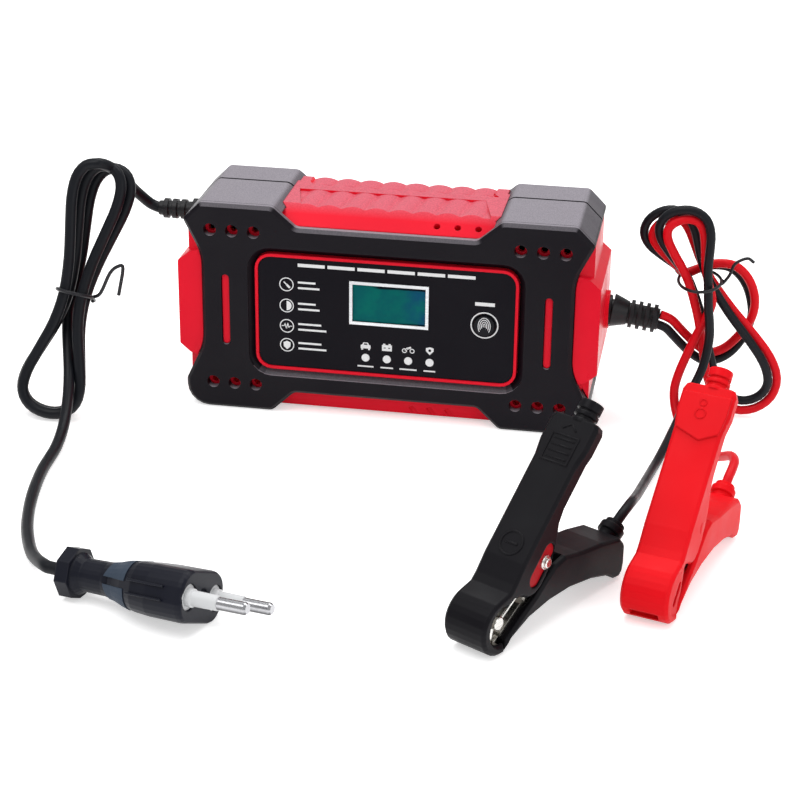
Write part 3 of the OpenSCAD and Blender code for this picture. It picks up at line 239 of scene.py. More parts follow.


# the up-facing tone given to plastic() is a painted sheen, and its edge tone a painted highlight
M = {
    "bumper": plastic("bumper_plastic", (0.006, 0.0045, 0.0075), 0.42, grain=1700, bump=0.25,
                      bump_dist=0.0001, edge=0.12, bevel=0.0006, sheen=(0.25, 0.23, 0.26), sheen_from=0.55),
    "red_shell": plastic("red_shell_plastic", (0.80, 0.0055, 0.024), 0.34, grain=1400, bump=0.12, edge=0.1,
                         bevel=0.0006, sheen=(0.62, 0.105, 0.145), sheen_from=0.5, sheen_where=top_grip_only),
    "film": plastic("panel_film", (0.0045, 0.0035, 0.0065), 0.36, grain=2500, bump=0.15, bevel=0.0002,
                    spec=0.08),
    "bezel": brushed("silver_trim", (0.70, 0.71, 0.73), 0.3),
    "button": plastic("button_plastic", (0.006, 0.006, 0.009), 0.3, bevel=0.0003),
    "dark": plastic("dark_component", (0.02, 0.02, 0.022), 0.5, grain=1200, bump=0.2),
    "rivet": brushed("rivet_metal", (0.78, 0.77, 0.74), 0.2, scale=60),
    "lens": plastic("white_lens", (0.86, 0.87, 0.88), 0.22, var=0.03, bump=0.02, coat=0.3),
    "board": plastic("circuit_board", (0.012, 0.11, 0.035), 0.32, grain=700, bump=0.1),
    "ferrite": plastic("ferrite", (0.03, 0.03, 0.033), 0.7, grain=900, bump=0.4),
    "tape": plastic("winding_tape", (0.62, 0.4, 0.04), 0.35, grain=400, bump=0.1),
    "aluminium": brushed("heat_sink_metal", (0.62, 0.63, 0.65), 0.35),
    "sleeve": plastic("capacitor_sleeve", (0.012, 0.02, 0.09), 0.3, bump=0.05),
    "copper": plastic("copper_wire", (0.5, 0.14, 0.03), 0.3, metal=0.8, bump=0.1),
    "fuse": plastic("fuse_glass", (0.7, 0.74, 0.74), 0.12, var=0.04, bump=0.02),
    "steel": brushed("zinc_steel", (0.62, 0.60, 0.55), 0.28),
    # the pins' darker tone towards the bench is a painted reflection
    "chrome": brushed("nickel_pin", (0.5, 0.5, 0.52), 0.2, bump=0.04, dark_reflection=(-0.45, 0.05)),
    "rubber": plastic("gland_rubber", (0.007, 0.007, 0.009), 0.4, grain=1100, bump=0.3, bevel=0.0004,
                      spec=0.3),
    "cord": plastic("black_cord", (0.007, 0.008, 0.011), 0.4, grain=600, bump=0.12, bevel=0, blotch=40,
                    spec=0.16),
    "cord_red": plastic("red_cord", (0.70, 0.006, 0.014), 0.38, grain=600, bump=0.1, bevel=0, blotch=40,
                        spec=0.12),
    "tie": plastic("tie_plastic", (0.009, 0.009, 0.012), 0.36, bevel=0, spec=0.3),
    "plug": plastic("plug_plastic", (0.008, 0.009, 0.016), 0.36, grain=1200, bump=0.2, edge=0.2,
                    bevel=0.0006, spec=0.15),
    "grip": plastic("plug_grip", (0.045, 0.062, 0.09), 0.55, grain=1500, bump=0.5, bevel=0.0004),
    "white": plastic("pin_sleeve", (0.66, 0.67, 0.68), 0.3, var=0.03, bump=0.03),
    "clamp_black": plastic("clamp_black_plastic", (0.0055, 0.005, 0.007), 0.4, grain=1300, bump=0.2,
                           edge=0.1, bevel=0.0009, spec=0.1),
    "clamp_red": plastic("clamp_red_plastic", (0.80, 0.006, 0.012), 0.4, grain=1300, bump=0.12, edge=0.08,
                         bevel=0.0009, spec=0.06),
    "inlay": plastic("slot_strip", (0.42, 0.006, 0.012), 0.35, grain=1300, bump=0.1, bevel=0.0003,
                     spec=0.15),
    "print": plastic("white_print", (0.82, 0.83, 0.84), 0.5, var=0.05, grain=3000, bump=0.1, bevel=0),
}


def screen_material():
    """Display: teal, bluer at the right, with a painted shadow of the frame along part of its top edge, dark
    along part of its lower edge, with faint streaks.
    """
    m, t, p = new_mat("display_screen")
    at = parts(t, coords(t))
    x, z = at["X"], at["Z"]
    right_side = remap(t, x, 0, 1, 0.006, 0.0185)
    col = mix_col(t, right_side, (0.001, 0.085, 0.09), (0.004, 0.05, 0.14))
    col = mix_col(t, remap(t, noise(t, 120, 5, 0.6), 0, 0.8, 0.42, 0.62), col, (0.001, 0.115, 0.095))
    fine = t.nodes.new("ShaderNodeTexNoise")
    fine.noise_type = "RIDGED_MULTIFRACTAL"
    fine.inputs["Scale"].default_value = 130
    fine.inputs["Detail"].default_value = 3
    link(t, coords(t), fine.inputs["Vector"])
    col = mix_col(t, remap(t, fine.outputs["Fac"], 0, 0.55, 0.5, 0.9), col, (0.004, 0.17, 0.16))
    # painted shadow of the bezel frame along the top of the display
    ragged_z = maths(t, "ADD", z, maths(t, "MULTIPLY", noise(t, 70, 2), 0.0018))
    upper = maths(t, "MULTIPLY", remap(t, ragged_z, 0, 1, 0.0625, 0.0629), remap(t, x, 0, 1, -0.0065, -0.003))
    col = mix_col(t, upper, col, (0.001, 0.006, 0.011))
    lower = maths(t, "MULTIPLY", remap(t, z, 1, 0, 0.0459, 0.0467), remap(t, x, 0, 1, 0.005, 0.012))
    col = mix_col(t, lower, col, (0.001, 0.007, 0.008))
    link(t, col, p.inputs["Base Color"])
    link(t, col, p.inputs["Emission Color"])
    p.inputs["Emission Strength"].default_value = 0.2
    p.inputs["Roughness"].default_value = 0.2
    p.inputs["Specular IOR Level"].default_value = 0.04
    return m


M["screen"] = screen_material()

SKIN = {
    "front_bumper": "bumper", "rear_bumper": "bumper", "front_shell": "red_shell", "rear_shell": "red_shell",
    "control_panel": "film", "lcd_bezel": "bezel", "lcd_glass": "screen", "mode_button": "button",
    "tact_switch": "dark", "led_lenses": "lens", "display_board": "board", "main_board": "board",
    "transformer_core": "ferrite", "transformer_coil": "tape", "heat_sink": "aluminium",
    "power_transistors": "dark", "mains_capacitor": "sleeve", "output_capacitors": "sleeve",
    "choke": "copper", "bridge_rectifier": "dark", "fuse": "fuse", "case_screws": "steel",
    "board_screws": "steel", "ac_gland": "rubber", "dc_gland": "rubber", "mains_tie": "tie",
    "lead_tie": "tie", "plug_body": "plug", "plug_grips": "grip", "plug_pins": "chrome",
    "pin_bases": "white", "mains_cord": "cord", "mains_hank": "cord", "mains_tail": "cord",
    "red_lead": "cord_red", "red_hank": "cord_red", "red_clamp_lead": "cord_red", "black_lead": "cord",
    "black_hank": "cord", "black_clamp_lead": "cord", "black_upper_cover": "clamp_black",
    "black_lower_cover": "clamp_black", "black_inlays": "inlay", "red_upper_cover": "clamp_red",
    "red_lower_cover": "clamp_red", "black_upper_jaw": "steel", "black_lower_jaw": "steel",
    "red_upper_jaw": "steel", "red_lower_jaw": "steel", "black_pivot_pin": "chrome",
    "red_pivot_pin": "chrome", "black_spring": "steel", "red_spring": "steel",
}
for name, o in NODES.items():
    o.data.materials.clear()
    o.data.materials.append(M[SKIN[name]])
    if name.startswith(("plug_", "black_", "red_", "ac_", "dc_", "choke", "mains_")):
        o.data.shade_smooth()
        o.data.set_sharp_from_angle(angle=SHARP)


# ---------------------------------------------------------------- cords, along the source's own routes

def cat(a, b, c, d, t):
    """Catmull-Rom curve through b and c."""
    return 0.5 * (2 * b + (c - a) * t + (2 * a - 5 * b + 4 * c - d) * t * t
                  + (3 * b - a - 3 * c + d) * t * t * t)


def smooth_line(v, n):
    """A smooth line through the points v, in n steps from each to the next."""
    v = [Vector(p) for p in v]
    out = []
    for i in range(len(v) - 1):
        a = v[i - 1] if i else 2 * v[0] - v[1]
        d = v[i + 2] if i + 2 < len(v) else 2 * v[i + 1] - v[i]
        out += [cat(a, v[i], v[i + 1], d, k / n) for k in range(n)]
    return out + [v[-1]]


def tangent(v, i):
    return (v[min(i + 1, len(v) - 1)] - v[max(i - 1, 0)]).normalized()


def hank_point(h, t):
    """Point after t turns: a loop pinched at its waist that leans and steps back with each turn."""
    a = 2 * math.pi * t
    lean = math.radians(h["lean0"] + h["lean"] * t)
    reach, fold = (h["top"], h["top_r"]) if math.cos(a) > 0 else (h["low"], h["low_r"])
    wide = math.sqrt(reach * fold)
    half = h["waist"] + (wide - h["waist"]) * math.cos(a) ** 2
    p, q = reach * math.cos(a), h["way"] * half * math.sin(a)
    return (h["c"] + (p * math.cos(lean) - q * math.sin(lean)) * h["u"]
            + (p * math.sin(lean) + q * math.cos(lean)) * h["v"] + h["step"] * t * h["w"])


def hank_line(h, t0, t1):
    n = round((t1 - t0) * TURN_STEPS)
    return [hank_point(h, t0 + (t1 - t0) * i / n) for i in range(n + 1)]


MAINS_D, LEAD_D = 5.0, 4.0
TURN_STEPS = 24
LEAVE = 9  # how far a cord runs straight on out of its hank

# mains cord: gland, hank, then over the bench to the plug
m_up = V(24, 42, 105).normalized()
m_across = (V(1, 0, 0) - m_up.x * m_up).normalized()
m_step = m_up.cross(m_across)
mains_h = dict(c=V(-138, -40, 54), u=m_up, v=m_across, w=m_step, top=58, low=54, waist=3.6, top_r=8,
               lean=3, lean0=-4, step=MAINS_D + 1, way=-1, low_r=19)
mains_coil = hank_line(mains_h, 0, 2.25)
AC_TIP = V(-110, 7.2, 80)
mains_start = smooth_line([AC_TIP, AC_TIP + V(-4.5, -0.6, 2), (-120, 1, 90), (-123.5, -9, 100.5),
                           mains_coil[0] + V(3, 2.4, -1.2), mains_coil[0]], 2)
mains_end = mains_coil[-1]
mains_out = (mains_end - mains_coil[-2]).normalized()
PLUG_TURN, PLUG_TILT, PLUG_ROLL = (math.radians(a) for a in (-15.6, 3.3, -27))
PLUG_AT = V(-89.3, -203.4, 8.8)
plug_dir = V(math.cos(PLUG_TURN) * math.cos(PLUG_TILT), math.sin(PLUG_TURN) * math.cos(PLUG_TILT),
             math.sin(PLUG_TILT))
mains_rest = smooth_line([mains_end, mains_end + LEAVE * mains_out, (-141.5, -37.5, 32), (-138, -48, 22),
                          (-135, -60, 13), (-132.5, -75, 6), (-131, -91, 2.9), (-130, -110, 2.6),
                          (-126, -135, 2.6), (-119, -161, 2.6), (-109, -184, 4), (-99, -199, 8),
                          PLUG_AT - 6 * plug_dir, PLUG_AT], 2)

# output leads: side by side through the hank, twisting round each other once a turn
dc_h = dict(c=V(133.5, 22, 62), u=V(0, 0, 1), v=V(1, 0, 0), w=V(0, -1, 0), top=33.5, low=62, waist=4,
            top_r=12, lean=17.6, lean0=-53.2, step=2 * LEAD_D + 0.9, way=1, low_r=11.5)
DC_T0, DC_T1 = 0.8, 2.25
dc_line = hank_line(dc_h, DC_T0, DC_T1)
dc_n = len(dc_line) - 1
PAIR = LEAD_D + 0.5


def dc_pair(s):
    out = []
    for i in range(dc_n + 1):
        t = tangent(dc_line, i)
        n = dc_h["w"].cross(t).normalized()
        w = t.cross(n)
        a = 2 * math.pi * (DC_T0 + (DC_T1 - DC_T0) * i / dc_n - 0.5)
        out.append(dc_line[i] + s * PAIR / 2 * (math.cos(a) * n + math.sin(a) * w))
    return out


red_coil, black_coil = dc_pair(1), dc_pair(-1)

BLACK_AT, BLACK_TURN = (65.8, -220.4, 0), 60.3
RED_AT, RED_TURN = (126.3, -187.4, 0), 74
COLLAR = (91.5, 0, 17)  # where the lead enters a clamp, in the clamp's own frame
COLLAR_LEAN = math.radians(60)


def clamp_point(at, turn, p):
    c, s = math.cos(math.radians(turn)), math.sin(math.radians(turn))
    return V(at[0] + p[0] * c - p[1] * s, at[1] + p[0] * s + p[1] * c, at[2] + p[2])


def collar_way(turn):
    a = math.radians(turn)
    return V(math.sin(COLLAR_LEAN) * math.cos(a), math.sin(COLLAR_LEAN) * math.sin(a), math.cos(COLLAR_LEAN))


black_collar = clamp_point(BLACK_AT, BLACK_TURN, COLLAR)
red_collar = clamp_point(RED_AT, RED_TURN, COLLAR)

# the output gland points out of the right side, drooping a little
DC_ROOT, DC_GLAND_L, DROOP = V(94.8, 7.2, 47), 22, math.radians(8)
dc_tip = DC_ROOT + DC_GLAND_L * V(math.cos(DROOP), 0, -math.sin(DROOP))
lead_in = smooth_line([dc_tip, dc_tip + V(5, 1, -2.5), (128.5, 12, 33), (138.5, 16, 24.5), (149, 19, 28.5),
                       (157, 21, 43), (155, 22, 57), (147, 21, 66), (136, 19, 66.5),
                       dc_line[0] - 5 * tangent(dc_line, 0), dc_line[0]], 2)


def lead_in_pair(s):
    n = len(lead_in) - 1
    out = []
    last = (red_coil if s > 0 else black_coil)[0] - dc_line[0]
    first = s * PAIR / 2 * V(0, 0.35, 1).normalized()
    for i, p in enumerate(lead_in):
        t, k = tangent(lead_in, i), i / n
        b = first * (1 - k) + last * k
        out.append(p + PAIR / 2 * (b - b.dot(t) * t).normalized())
    return out


red_end, black_end = red_coil[-1], black_coil[-1]
red_rest = smooth_line([red_end, red_end + LEAVE * tangent(red_coil, dc_n), (134.5, 4, 41), (129.5, 0, 29),
                        (126, -5, 17), (128, -12, 7.5), (133.5, -24, 2.9), (141, -42, 4), (147.5, -60, 11),
                        (152.5, -74, 18.5), (154.4, -86, 21.5), red_collar + 5 * collar_way(RED_TURN),
                        red_collar], 2)
black_rest = smooth_line([black_end, black_end + LEAVE * tangent(black_coil, dc_n), (139.5, -0.5, 41),
                          (137.5, -4, 27), (132.5, -11, 16), (128, -25, 7.5), (123.5, -45, 3),
                          (120.8, -62, 3.5), (118.4, -88, 8.5), (117.2, -112, 15.5), (116, -128, 20.3),
                          black_collar + 5 * collar_way(BLACK_TURN), black_collar], 2)


def joined(*lines):
    """The lines as one, without points closer than 0.35 mm to the one before."""
    out = []
    for v in lines:
        for p in v:
            if not out or (p - out[-1]).length > 0.35:
                out.append(p)
    return out


def curve(name, points, diameter, material, steps=3):
    """A round tube along the points, and the length of its centre line in metres."""
    pts = [p * MM for p in smooth_line(points, steps)]
    c = bpy.data.curves.new(name, "CURVE")
    c.dimensions = "3D"
    c.bevel_depth = diameter / 2 * MM
    c.bevel_resolution = 5
    c.use_fill_caps = True
    s = c.splines.new("POLY")
    s.points.add(len(pts) - 1)
    for q, p in zip(s.points, pts):
        q.co = (*p, 1)
    s.use_smooth = True
    c.materials.append(material)
    o = bpy.data.objects.new(name, c)
    bpy.context.scene.collection.objects.link(o)
    return o, sum((a - b).length for a, b in zip(pts, pts[1:]))


def free_cord(name, points, diameter, material, nodes):
    o, length = curve(name, points, diameter, material)
    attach(o, "charger")
    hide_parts(*nodes)


# ---------------------------------------------------------------- turned pieces and the plug

def clamp_matrix(at, turn):
    return Matrix.Translation(V(*at) * MM) @ Matrix.Rotation(math.radians(turn), 4, "Z")


def mesh_piece(name, bm, matrix, material, body):
    me = bpy.data.meshes.new(name)
    bm.to_mesh(me)
    bm.free()
    me.transform(Matrix.Scale(MM, 4))
    me.shade_smooth()
    me.set_sharp_from_angle(angle=SHARP)
    me.materials.append(material)
    o = bpy.data.objects.new(name, me)
    bpy.context.scene.collection.objects.link(o)
    o.matrix_world = matrix
    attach(o, body)
    return o


def turned_stack(bm, centre, axis, rings, n=32):
    """Rings given as distance along the axis and radius, closed at both ends."""
    axis = axis.normalized()
    u = axis.orthogonal().normalized()
    w = axis.cross(u)
    spokes = [math.cos(2 * math.pi * k / n) * u + math.sin(2 * math.pi * k / n) * w for k in range(n)]
    rows = [[bm.verts.new(centre + d * axis + r * spoke) for spoke in spokes] for d, r in rings]
    for a, b in zip(rows, rows[1:]):
        for k in range(n):
            bm.faces.new((a[k], a[(k + 1) % n], b[(k + 1) % n], b[k]))
    bm.faces.new(list(reversed(rows[0])))
    bm.faces.new(rows[-1])


# white sleeves on the first half of the pins, with a collar each, in place of the plain bases
PIN_Y, SLEEVE_X = 9.5, 54
SLEEVE = [(0, 4.9), (5.2, 4.9), (5.4, 3.5), (7.6, 3.5), (8, 2.95), (18, 2.8), (18.3, 2.5)]
plug_m = (Matrix.Translation(PLUG_AT * MM) @ Matrix.Rotation(PLUG_TURN, 4, "Z")
          @ Matrix.Rotation(-PLUG_TILT, 4, "Y") @ Matrix.Rotation(PLUG_ROLL, 4, "X"))
bm = bmesh.new()
for k in (-1, 1):
    turned_stack(bm, V(SLEEVE_X, PIN_Y * k, 0), V(1, 0, 0), SLEEVE)
sleeves = mesh_piece("pin_sleeves", bm, plug_m, M["white"], "charger")
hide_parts("pin_bases")

# two grip lines along each side of the plug
bm = bmesh.new()
for k in (-1, 1):
    for z in (-2.5, 2.5):
        turned_stack(bm, V(36, 14.3 * k, z), V(1, 0.09 * k, 0), [(0, 0.45), (16, 0.45)], 10)
mesh_piece("plug_side_lines", bm, plug_m, M["plug"], "charger")


mains_all = joined(mains_start, mains_coil, mains_rest)
red_all = joined(lead_in_pair(1), red_coil, red_rest)
black_all = joined(lead_in_pair(-1), black_coil, black_rest)
free_cord("mains_flex", mains_all, MAINS_D, M["cord"], ["mains_cord", "mains_hank", "mains_tail"])
free_cord("red_output_lead", red_all, LEAD_D, M["cord_red"], ["red_lead", "red_hank", "red_clamp_lead"])
free_cord("black_output_lead", black_all, LEAD_D, M["cord"], ["black_lead", "black_hank", "black_clamp_lead"])


def tie_points(c, u, v, a, b, d, tail):
    """One turn round c, a wide along u and b along v, each end 0.6 d aside, then a loose end."""
    loop = [c + a * math.cos(math.radians(20 * k)) * u + b * math.sin(math.radians(20 * k)) * v
            + (k / 18 - 0.5) * 1.2 * d * u.cross(v) for k in range(19)]
    return loop + [loop[18] + V(*p) for p in tail]


def tie(name, points, d, node):
    o, _ = curve(name, points, d, M["tie"], 4)
    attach(o, "charger")
    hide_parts(node)


MAINS_TIE_D, LEAD_TIE_D = 1.6, 1.4
tie("mains_tie_wire",
    tie_points(mains_h["c"] + 7.2 * m_step, m_across, m_step, 8.2, 11.2, MAINS_TIE_D,
               [(4, -2, 3), (9, -3, 13), (13, -3, 16.5), (15, -3, 15.5), (12.5, -3, 3)]),
    MAINS_TIE_D, "mains_tie")
tie("lead_tie_wire",
    tie_points(dc_h["c"] + V(0, -13.4, 1), V(1, 0, 0), V(0, -1, 0), 9.5, 15.5, LEAD_TIE_D,
               [(3, 1, 4), (5, 2, 9), (10, 3, 11.5), (13, 4, 9.5)]),
    LEAD_TIE_D, "lead_tie")


# ---------------------------------------------------------------- the ribbed rear half of the top grip

RIBS, RIB_PITCH, RIB_R, TOP_Z = 8, 10.4, 12.0, 94.4
PAD_HALF_W, PAD_STEP = 46.8, 0.65
FLOOR_Z, FLOOR_HALF_W, FLANK_SLOPE, FLANK_SINK = 86.2, 38.6, 9 / 10.5, 0.3


def pad_height(x, y):
    """Height of the pads' top: round ribs side by side, eased at the rear edge."""
    middle = (RIBS - 1) / 2
    k = round(x / RIB_PITCH + middle)
    dx = x - (k - middle) * RIB_PITCH
    rib = TOP_Z - RIB_R + math.sqrt(RIB_R ** 2 - dx * dx) if 0 <= k < RIBS else TOP_Z
    return rib - (1.0 if y > 24 else 0.25 if y > 23 else 0)


def trough_height(x):
    """Floor of the grip that the pads stand on: flat, then rising with the grip's flanks."""
    return FLOOR_Z + max(0, (abs(x) - FLOOR_HALF_W) * FLANK_SLOPE - FLANK_SINK)


bm = bmesh.new()
xs = [-PAD_HALF_W + PAD_STEP * i for i in range(round(2 * PAD_HALF_W / PAD_STEP) + 1)]
ys = [12.5, 14, 18, 22, 23.1, 24.1]
grid = [[bm.verts.new((x, y, pad_height(x, y))) for x in xs] for y in ys]
base = [[bm.verts.new((x, y, trough_height(x))) for x in xs] for y in (ys[0], ys[-1])]
rows = [base[0]] + grid + [base[1], base[0]]
for a, b in zip(rows, rows[1:]):
    for i in range(len(xs) - 1):
        bm.faces.new((a[i], a[i + 1], b[i + 1], b[i]))
for i, order in ((0, 1), (len(xs) - 1, -1)):
    rim = [row[i] for row in rows[:-1]]
    bm.faces.new(rim[::order])
bmesh.ops.recalc_face_normals(bm, faces=bm.faces)
mesh_piece("rear_top_ribs", bm, Matrix.Identity(4), M["red_shell"], "charger")


# ---------------------------------------------------------------- print on the panel

FACE_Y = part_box("control_panel")[0].y
BUTTON_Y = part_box("mode_button")[0].y


def flat(name, loops, y, material, body="charger", thick=0.00004):
    """Filled outlines in X and Z (mm), lying on a face that looks along -Y at y (m)."""
    c = bpy.data.curves.new(name, "CURVE")
    c.dimensions = "2D"
    c.fill_mode = "BOTH"
    c.extrude = thick
    for pts in loops:
        s = c.splines.new("POLY")
        s.points.add(len(pts) - 1)
        for q, p in zip(s.points, pts):
            q.co = (p[0] * MM, p[1] * MM, 0, 1)
        s.use_cyclic_u = True
    c.materials.append(material)
    o = bpy.data.objects.new(name, c)
    bpy.context.scene.collection.objects.link(o)
    o.matrix_world = Matrix(((1, 0, 0, 0), (0, 0, -1, y), (0, 1, 0, 0), (0, 0, 0, 1)))
    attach(o, body)
    return o


def disc(x, z, r, n=40, a0=0, a1=360, rz=None):
    """Circle or arc; rz makes it an ellipse."""
    angles = [math.radians(a0 + (a1 - a0) * k / n) for k in range(n if a1 - a0 == 360 else n + 1)]
    return [(x + r * math.cos(a), z + (rz or r) * math.sin(a)) for a in angles]


def box(x0, z0, x1, z1):
    return [(x0, z0), (x1, z0), (x1, z1), (x0, z1)]


def placed(loops, x, z):
    return [[(x + px, z + pz) for px, pz in loop] for loop in loops]


def ring(x, z, r, w):
    return [disc(x, z, r), disc(x, z, r - w)]


def arc_band(x, z, r, w, a0, a1, n, rz):
    return [disc(x, z, r, n, a0, a1, rz) + list(reversed(disc(x, z, r - w, n, a0, a1, rz - w)))]


def bar(x0, z0, x1, z1, w):
    d = Vector((x1 - x0, z1 - z0)).normalized()
    n = Vector((-d.y, d.x)) * w / 2
    return [[(x0 + n.x, z0 + n.y), (x0 - n.x, z0 - n.y), (x1 - n.x, z1 - n.y), (x1 + n.x, z1 + n.y)]]


def flat_bar(x, z, length, w):
    return bar(x, z, x + length, z, w)


# mode icons down the left: a slanted stroke, a half disc, a wave and a shield, each in a ring
ICON_X, ICON_R = -44, 3.2
ICON_Z = [60.7, 50.8, 41.2, 32.2]
WAVE = [(-2.4, 0), (-1.2, 0), (-0.8, 1.3), (-0.2, -1.4), (0.4, 1.5), (0.9, -0.9), (1.3, 0), (2.4, 0)]
SHIELD = [(0, -2.1), (1.5, -0.7), (1.6, 1.2), (0, 1.9), (-1.6, 1.2), (-1.5, -0.7)]
icons = []
for z in ICON_Z:
    icons += ring(ICON_X, z, ICON_R, 0.42)
icons += placed(bar(-1.2, 1.2, 0.2, -0.2, 0.55) + bar(0.1, -0.1, 1.5, -1.5, 0.95), ICON_X, ICON_Z[0])
icons += [disc(ICON_X, ICON_Z[1], 2.2, 24, -90, 90)]
for a, b in zip(WAVE, WAVE[1:]):
    icons += placed(bar(*a, *b, 0.36), ICON_X, ICON_Z[2])
icons += placed([SHIELD], ICON_X, ICON_Z[3])
flat("panel_icons", icons, FACE_Y, M["print"])

# symbols over the four indicator lamps: car, battery, two wheels, shield
LED_X = [-8.7 + 9.5 * k for k in range(4)]
SYMBOL_Z = 34.6
CAR = [[(-2.2, -1.2), (2.2, -1.2), (2.2, 0.3), (1.5, 0.6), (1.0, 1.6), (-1.0, 1.6), (-1.5, 0.6), (-2.2, 0.3)],
       [(-0.9, 0.5), (0.9, 0.5), (0.6, 1.2), (-0.6, 1.2)],
       box(-1.9, -1.9, -1.1, -1.25), box(1.1, -1.9, 1.9, -1.25)]
BATTERY = [box(-2.2, -1.7, 2.2, 1.1), box(-1.7, 1.15, -0.7, 1.7), box(0.7, 1.15, 1.7, 1.7),
           box(-1.5, -0.5, -0.5, -0.1), box(0.5, -0.5, 1.5, -0.1)]
WHEELS = (ring(-1.7, -0.8, 1.1, 0.4) + ring(1.7, -0.8, 1.1, 0.4)
          + bar(-1.5, -0.6, -0.2, 0.6, 0.7) + bar(-0.2, 0.3, 1.2, 0.9, 0.9))
LAMP_SHIELD = [[(0, -2.0), (1.7, -0.2), (1.7, 1.2), (0, 1.7), (-1.7, 1.2), (-1.7, -0.2)],
               disc(0, 0.1, 0.65, 12)]
symbols = []
for x, loops in zip(LED_X, (CAR, BATTERY, WHEELS, LAMP_SHIELD)):
    symbols += placed(loops, x, SYMBOL_Z)
flat("panel_symbols", symbols, FACE_Y, M["print"])

# plain bars where wording would be: by the icons, under the lamps, along the top and over the button
LABEL_X, HEAD_Z, LAMP_LABEL_Z = -38.9, 70.0, 24.9
bars = []
for z, w in zip(ICON_Z, (9.6, 9.6, 12.6, 12.6)):
    bars += flat_bar(LABEL_X, z + 1.3, w * 0.82, 0.9) + flat_bar(LABEL_X, z - 1.3, w, 0.9)
for x, w in zip(LED_X, (7.2, 5.6, 7.6, 5.2)):
    bars += flat_bar(x - w / 2, LAMP_LABEL_Z, w, 0.7)
for k in range(6):
    bars += flat_bar(LABEL_X + 13.2 * k, HEAD_Z, 12.0, 1.5)
bars += flat_bar(39.2, 58.2, 8.6, 1.6)
flat("panel_bars", bars, FACE_Y, M["print"])

# ring round the mode button, and nested arches on it
BUTTON_X, BUTTON_Z = 43.5, 48.5
flat("mode_ring", ring(BUTTON_X, BUTTON_Z, 6.1, 0.55), FACE_Y, M["print"])
mark = []
for k, (rx, rz) in enumerate(((2.8, 4.1), (2.05, 3.2), (1.3, 2.3), (0.6, 1.4))):
    mark += arc_band(BUTTON_X, BUTTON_Z - 0.2, rx, 0.32, -40 + 8 * k, 220 - 8 * k, 26, rz)
flat("button_mark", mark, BUTTON_Y, M["print"], "mode_button")


# ---------------------------------------------------------------- small parts of the clamps, in their own frame

PIVOT = V(33, 0, 27.3)
black_m, red_m = clamp_matrix(BLACK_AT, BLACK_TURN), clamp_matrix(RED_AT, RED_TURN)
CLAMPS = (("black", black_m, "black_clamp_top"), ("red", red_m, "red_clamp_top"))
RIVET = [(8.5, 2.7), (9.3, 2.7), (9.5, 2.5), (9.5, 1.9), (10.3, 1.9), (10.6, 1.5)]
PIN_COVER = [(8.6, 2.4), (9.32, 2.4), (9.4, 2.2)]
for piece, rings, matrix, skin, body, slot in (
        ("rivet_heads", RIVET, black_m, "rivet", "charger", "steel"),
        ("red_pin_covers", PIN_COVER, red_m, "clamp_red", "red_clamp_top", "clamp_red")):
    bm = bmesh.new()
    for k in (-1, 1):
        turned_stack(bm, PIVOT, V(0, k, 0), rings)
    mesh_piece(piece, bm, matrix, M[skin], body)

# each spring in two: the coil with its lower leg stays, the last part of the coil with the upper leg
# goes with the handle
COIL_R, COIL_HALF_W, COIL_FROM, COIL_SWEEP, SPRING_D = 5, 3.6, 232, 1168, 1.5
COIL_STEPS, LEG_ARC, LEG_STEPS = 78, 48, 6
LOWER_LEG, UPPER_LEG = V(41, -COIL_HALF_W, 14.6), V(41.9, COIL_HALF_W, 48)


def coil_point(k):
    """Point of the coil, from its start at k = 0 to its end at k = 1."""
    a = math.radians(COIL_FROM - COIL_SWEEP * k)
    return PIVOT + V(COIL_R * math.cos(a), COIL_HALF_W * (2 * k - 1), COIL_R * math.sin(a))


coil = [LOWER_LEG] + [coil_point(k / COIL_STEPS) for k in range(COIL_STEPS + 1)]
leg = [coil_point(1 - LEG_ARC / COIL_SWEEP * (1 - k / LEG_STEPS)) for k in range(LEG_STEPS + 1)] + [UPPER_LEG]
for name, matrix, body in CLAMPS:
    for piece, way, rider in (("_coil", coil, "charger"), ("_spring_leg", leg, body)):
        o, _ = curve(name + piece, way, SPRING_D, M["steel"], 1)
        o.matrix_world = matrix
        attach(o, rider)
        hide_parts(name + "_spring")

# contact wire in each mouth, from the pivot to a small disc on the jaw, and a post below the disc
WIRE_FROM, WIRE_TO = V(22.6, -6.0, 19.4), V(10.6, -6.0, 12.2)
for name, matrix, body in CLAMPS:
    bm = bmesh.new()
    way = WIRE_TO - WIRE_FROM
    turned_stack(bm, WIRE_FROM, way, [(0, 0.5), (way.length, 0.5)], 12)
    turned_stack(bm, V(9.2, -6.9, 11.3), V(0, 1, 0), [(0, 2.3), (0.3, 2.6), (3.2, 2.6), (3.4, 2.4)])
    turned_stack(bm, V(9.2, -3.6, 11.3), V(-0.25, 0, -1), [(0, 1.2), (6.9, 1.2)], 12)
    mesh_piece(name + "_contact_wire", bm, matrix, M["rivet"], body)

# raised marks on the handles: a frame with strokes, a ring with a minus bar, an arrow, and small rings
HANDLE = Matrix.Translation(V(20, 0, 31.5) * MM) @ Matrix.Rotation(math.radians(-45), 4, "Y")
PLATE_T = 0.8  # the red handle's raised plate


def raised(name, loops, matrix, material, body, height):
    """Outlines standing up from a handle's face, in X along the handle and Y across it."""
    o = flat(name, loops, 0, material, body, height * MM)
    o.matrix_world = matrix


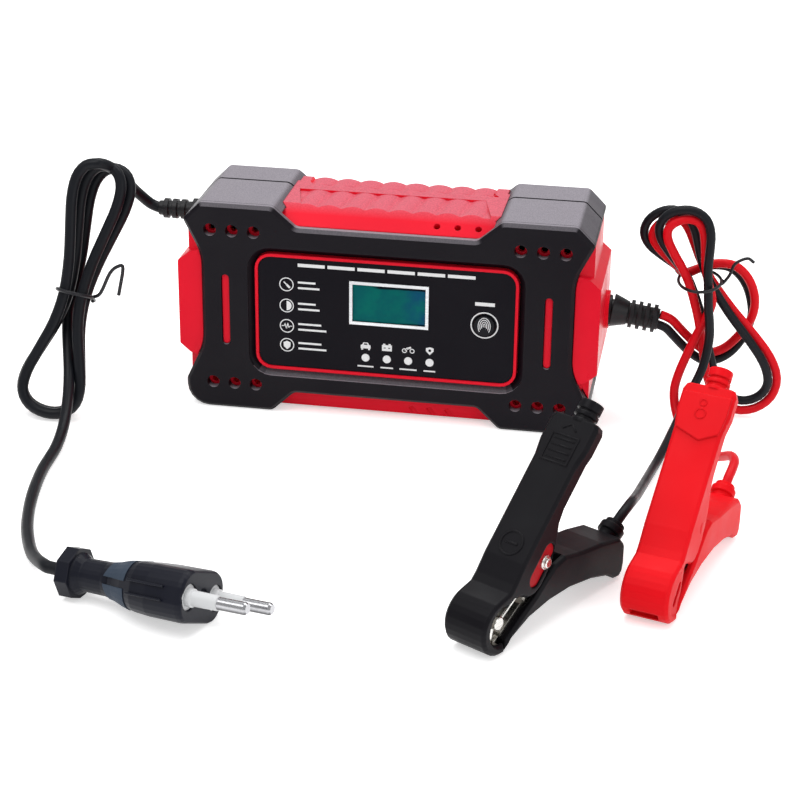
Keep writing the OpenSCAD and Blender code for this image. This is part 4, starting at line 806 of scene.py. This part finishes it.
marks = [box(39, -6, 50.5, 6), box(39.7, -5.3, 49.8, 5.3)] + ring(5.9, 0, 4.9, 0.7)
marks += bar(5.9, -2.6, 5.9, 2.6, 0.9)
for k in range(4):
    marks += bar(41 + 2.5 * k, -4.4, 41 + 2.5 * k, 4.4, 0.6)
marks += bar(52.5, -3, 55, 0, 0.6) + bar(52.5, 3, 55, 0, 0.6)
raised("black_handle_marks", marks, black_m @ HANDLE, M["clamp_black"], "black_clamp_top", 0.3)
plate_top = Matrix.Translation(V(0, 0, PLATE_T) * MM)
raised("red_handle_marks", ring(46, 0.5, 2.2, 0.5) + ring(50.5, 0.5, 1.5, 0.45), red_m @ HANDLE @ plate_top,
       M["clamp_red"], "red_clamp_top", 0.25)


# ---------------------------------------------------------------- stage and light

FLOOR_HALF = 7
FLOOR_GLOW = 0.5  # seen by the camera and in reflections only
SKY_LIGHT = 0.55  # what lights the object; the camera sees a plain white beyond the floor

me = bpy.data.meshes.new("floor")
me.from_pydata([(x, y, 0) for x, y in box(-FLOOR_HALF, -FLOOR_HALF, FLOOR_HALF, FLOOR_HALF)], [],
               [(0, 1, 2, 3)])
floor = bpy.data.objects.new("floor", me)
bpy.context.scene.collection.objects.link(floor)
m, t, p = new_mat("floor_paper")
paper = mix_col(t, remap(t, noise(t, 3, 2), 0, 1), (0.93, 0.93, 0.93), (0.96, 0.96, 0.96))
link(t, paper, p.inputs["Base Color"])
p.inputs["Roughness"].default_value = 0.9
p.inputs["Specular IOR Level"].default_value = 0.1
p.inputs["Emission Color"].default_value = (1, 1, 1, 1)
ray = t.nodes.new("ShaderNodeLightPath").outputs
seen = maths(t, "MAXIMUM", ray["Is Camera Ray"], ray["Is Glossy Ray"])
link(t, maths(t, "MULTIPLY", seen, FLOOR_GLOW), p.inputs["Emission Strength"])
floor.data.materials.append(m)

world = bpy.data.worlds.new("world")
bpy.context.scene.world = world
world.use_nodes = True
sky = world.node_tree
bg = sky.nodes["Background"]
bg.inputs[0].default_value = (1, 1, 1, 1)
ray = sky.nodes.new("ShaderNodeLightPath").outputs
link(sky, maths(sky, "MULTIPLY_ADD", ray["Is Camera Ray"], 1 - SKY_LIGHT, SKY_LIGHT), bg.inputs[1])


def area(name, at, to, size, power):
    d = bpy.data.lights.new(name, "AREA")
    d.shape = "RECTANGLE"
    d.size, d.size_y = size
    d.energy = power
    o = bpy.data.objects.new(name, d)
    o.location = at
    o.rotation_euler = (Vector(to) - Vector(at)).to_track_quat("-Z", "Y").to_euler()
    bpy.context.scene.collection.objects.link(o)


area("key", (-0.5, -0.55, 1.3), (0, 0, 0.05), (0.9, 0.9), 8)
area("top", (0.15, 0.45, 1.2), (0, -0.05, 0.05), (1.3, 0.6), 9)
area("fill", (1.1, -0.8, 0.6), (0.05, 0, 0.05), (0.7, 0.9), 3)

bpy.context.scene.view_settings.view_transform = "Standard"
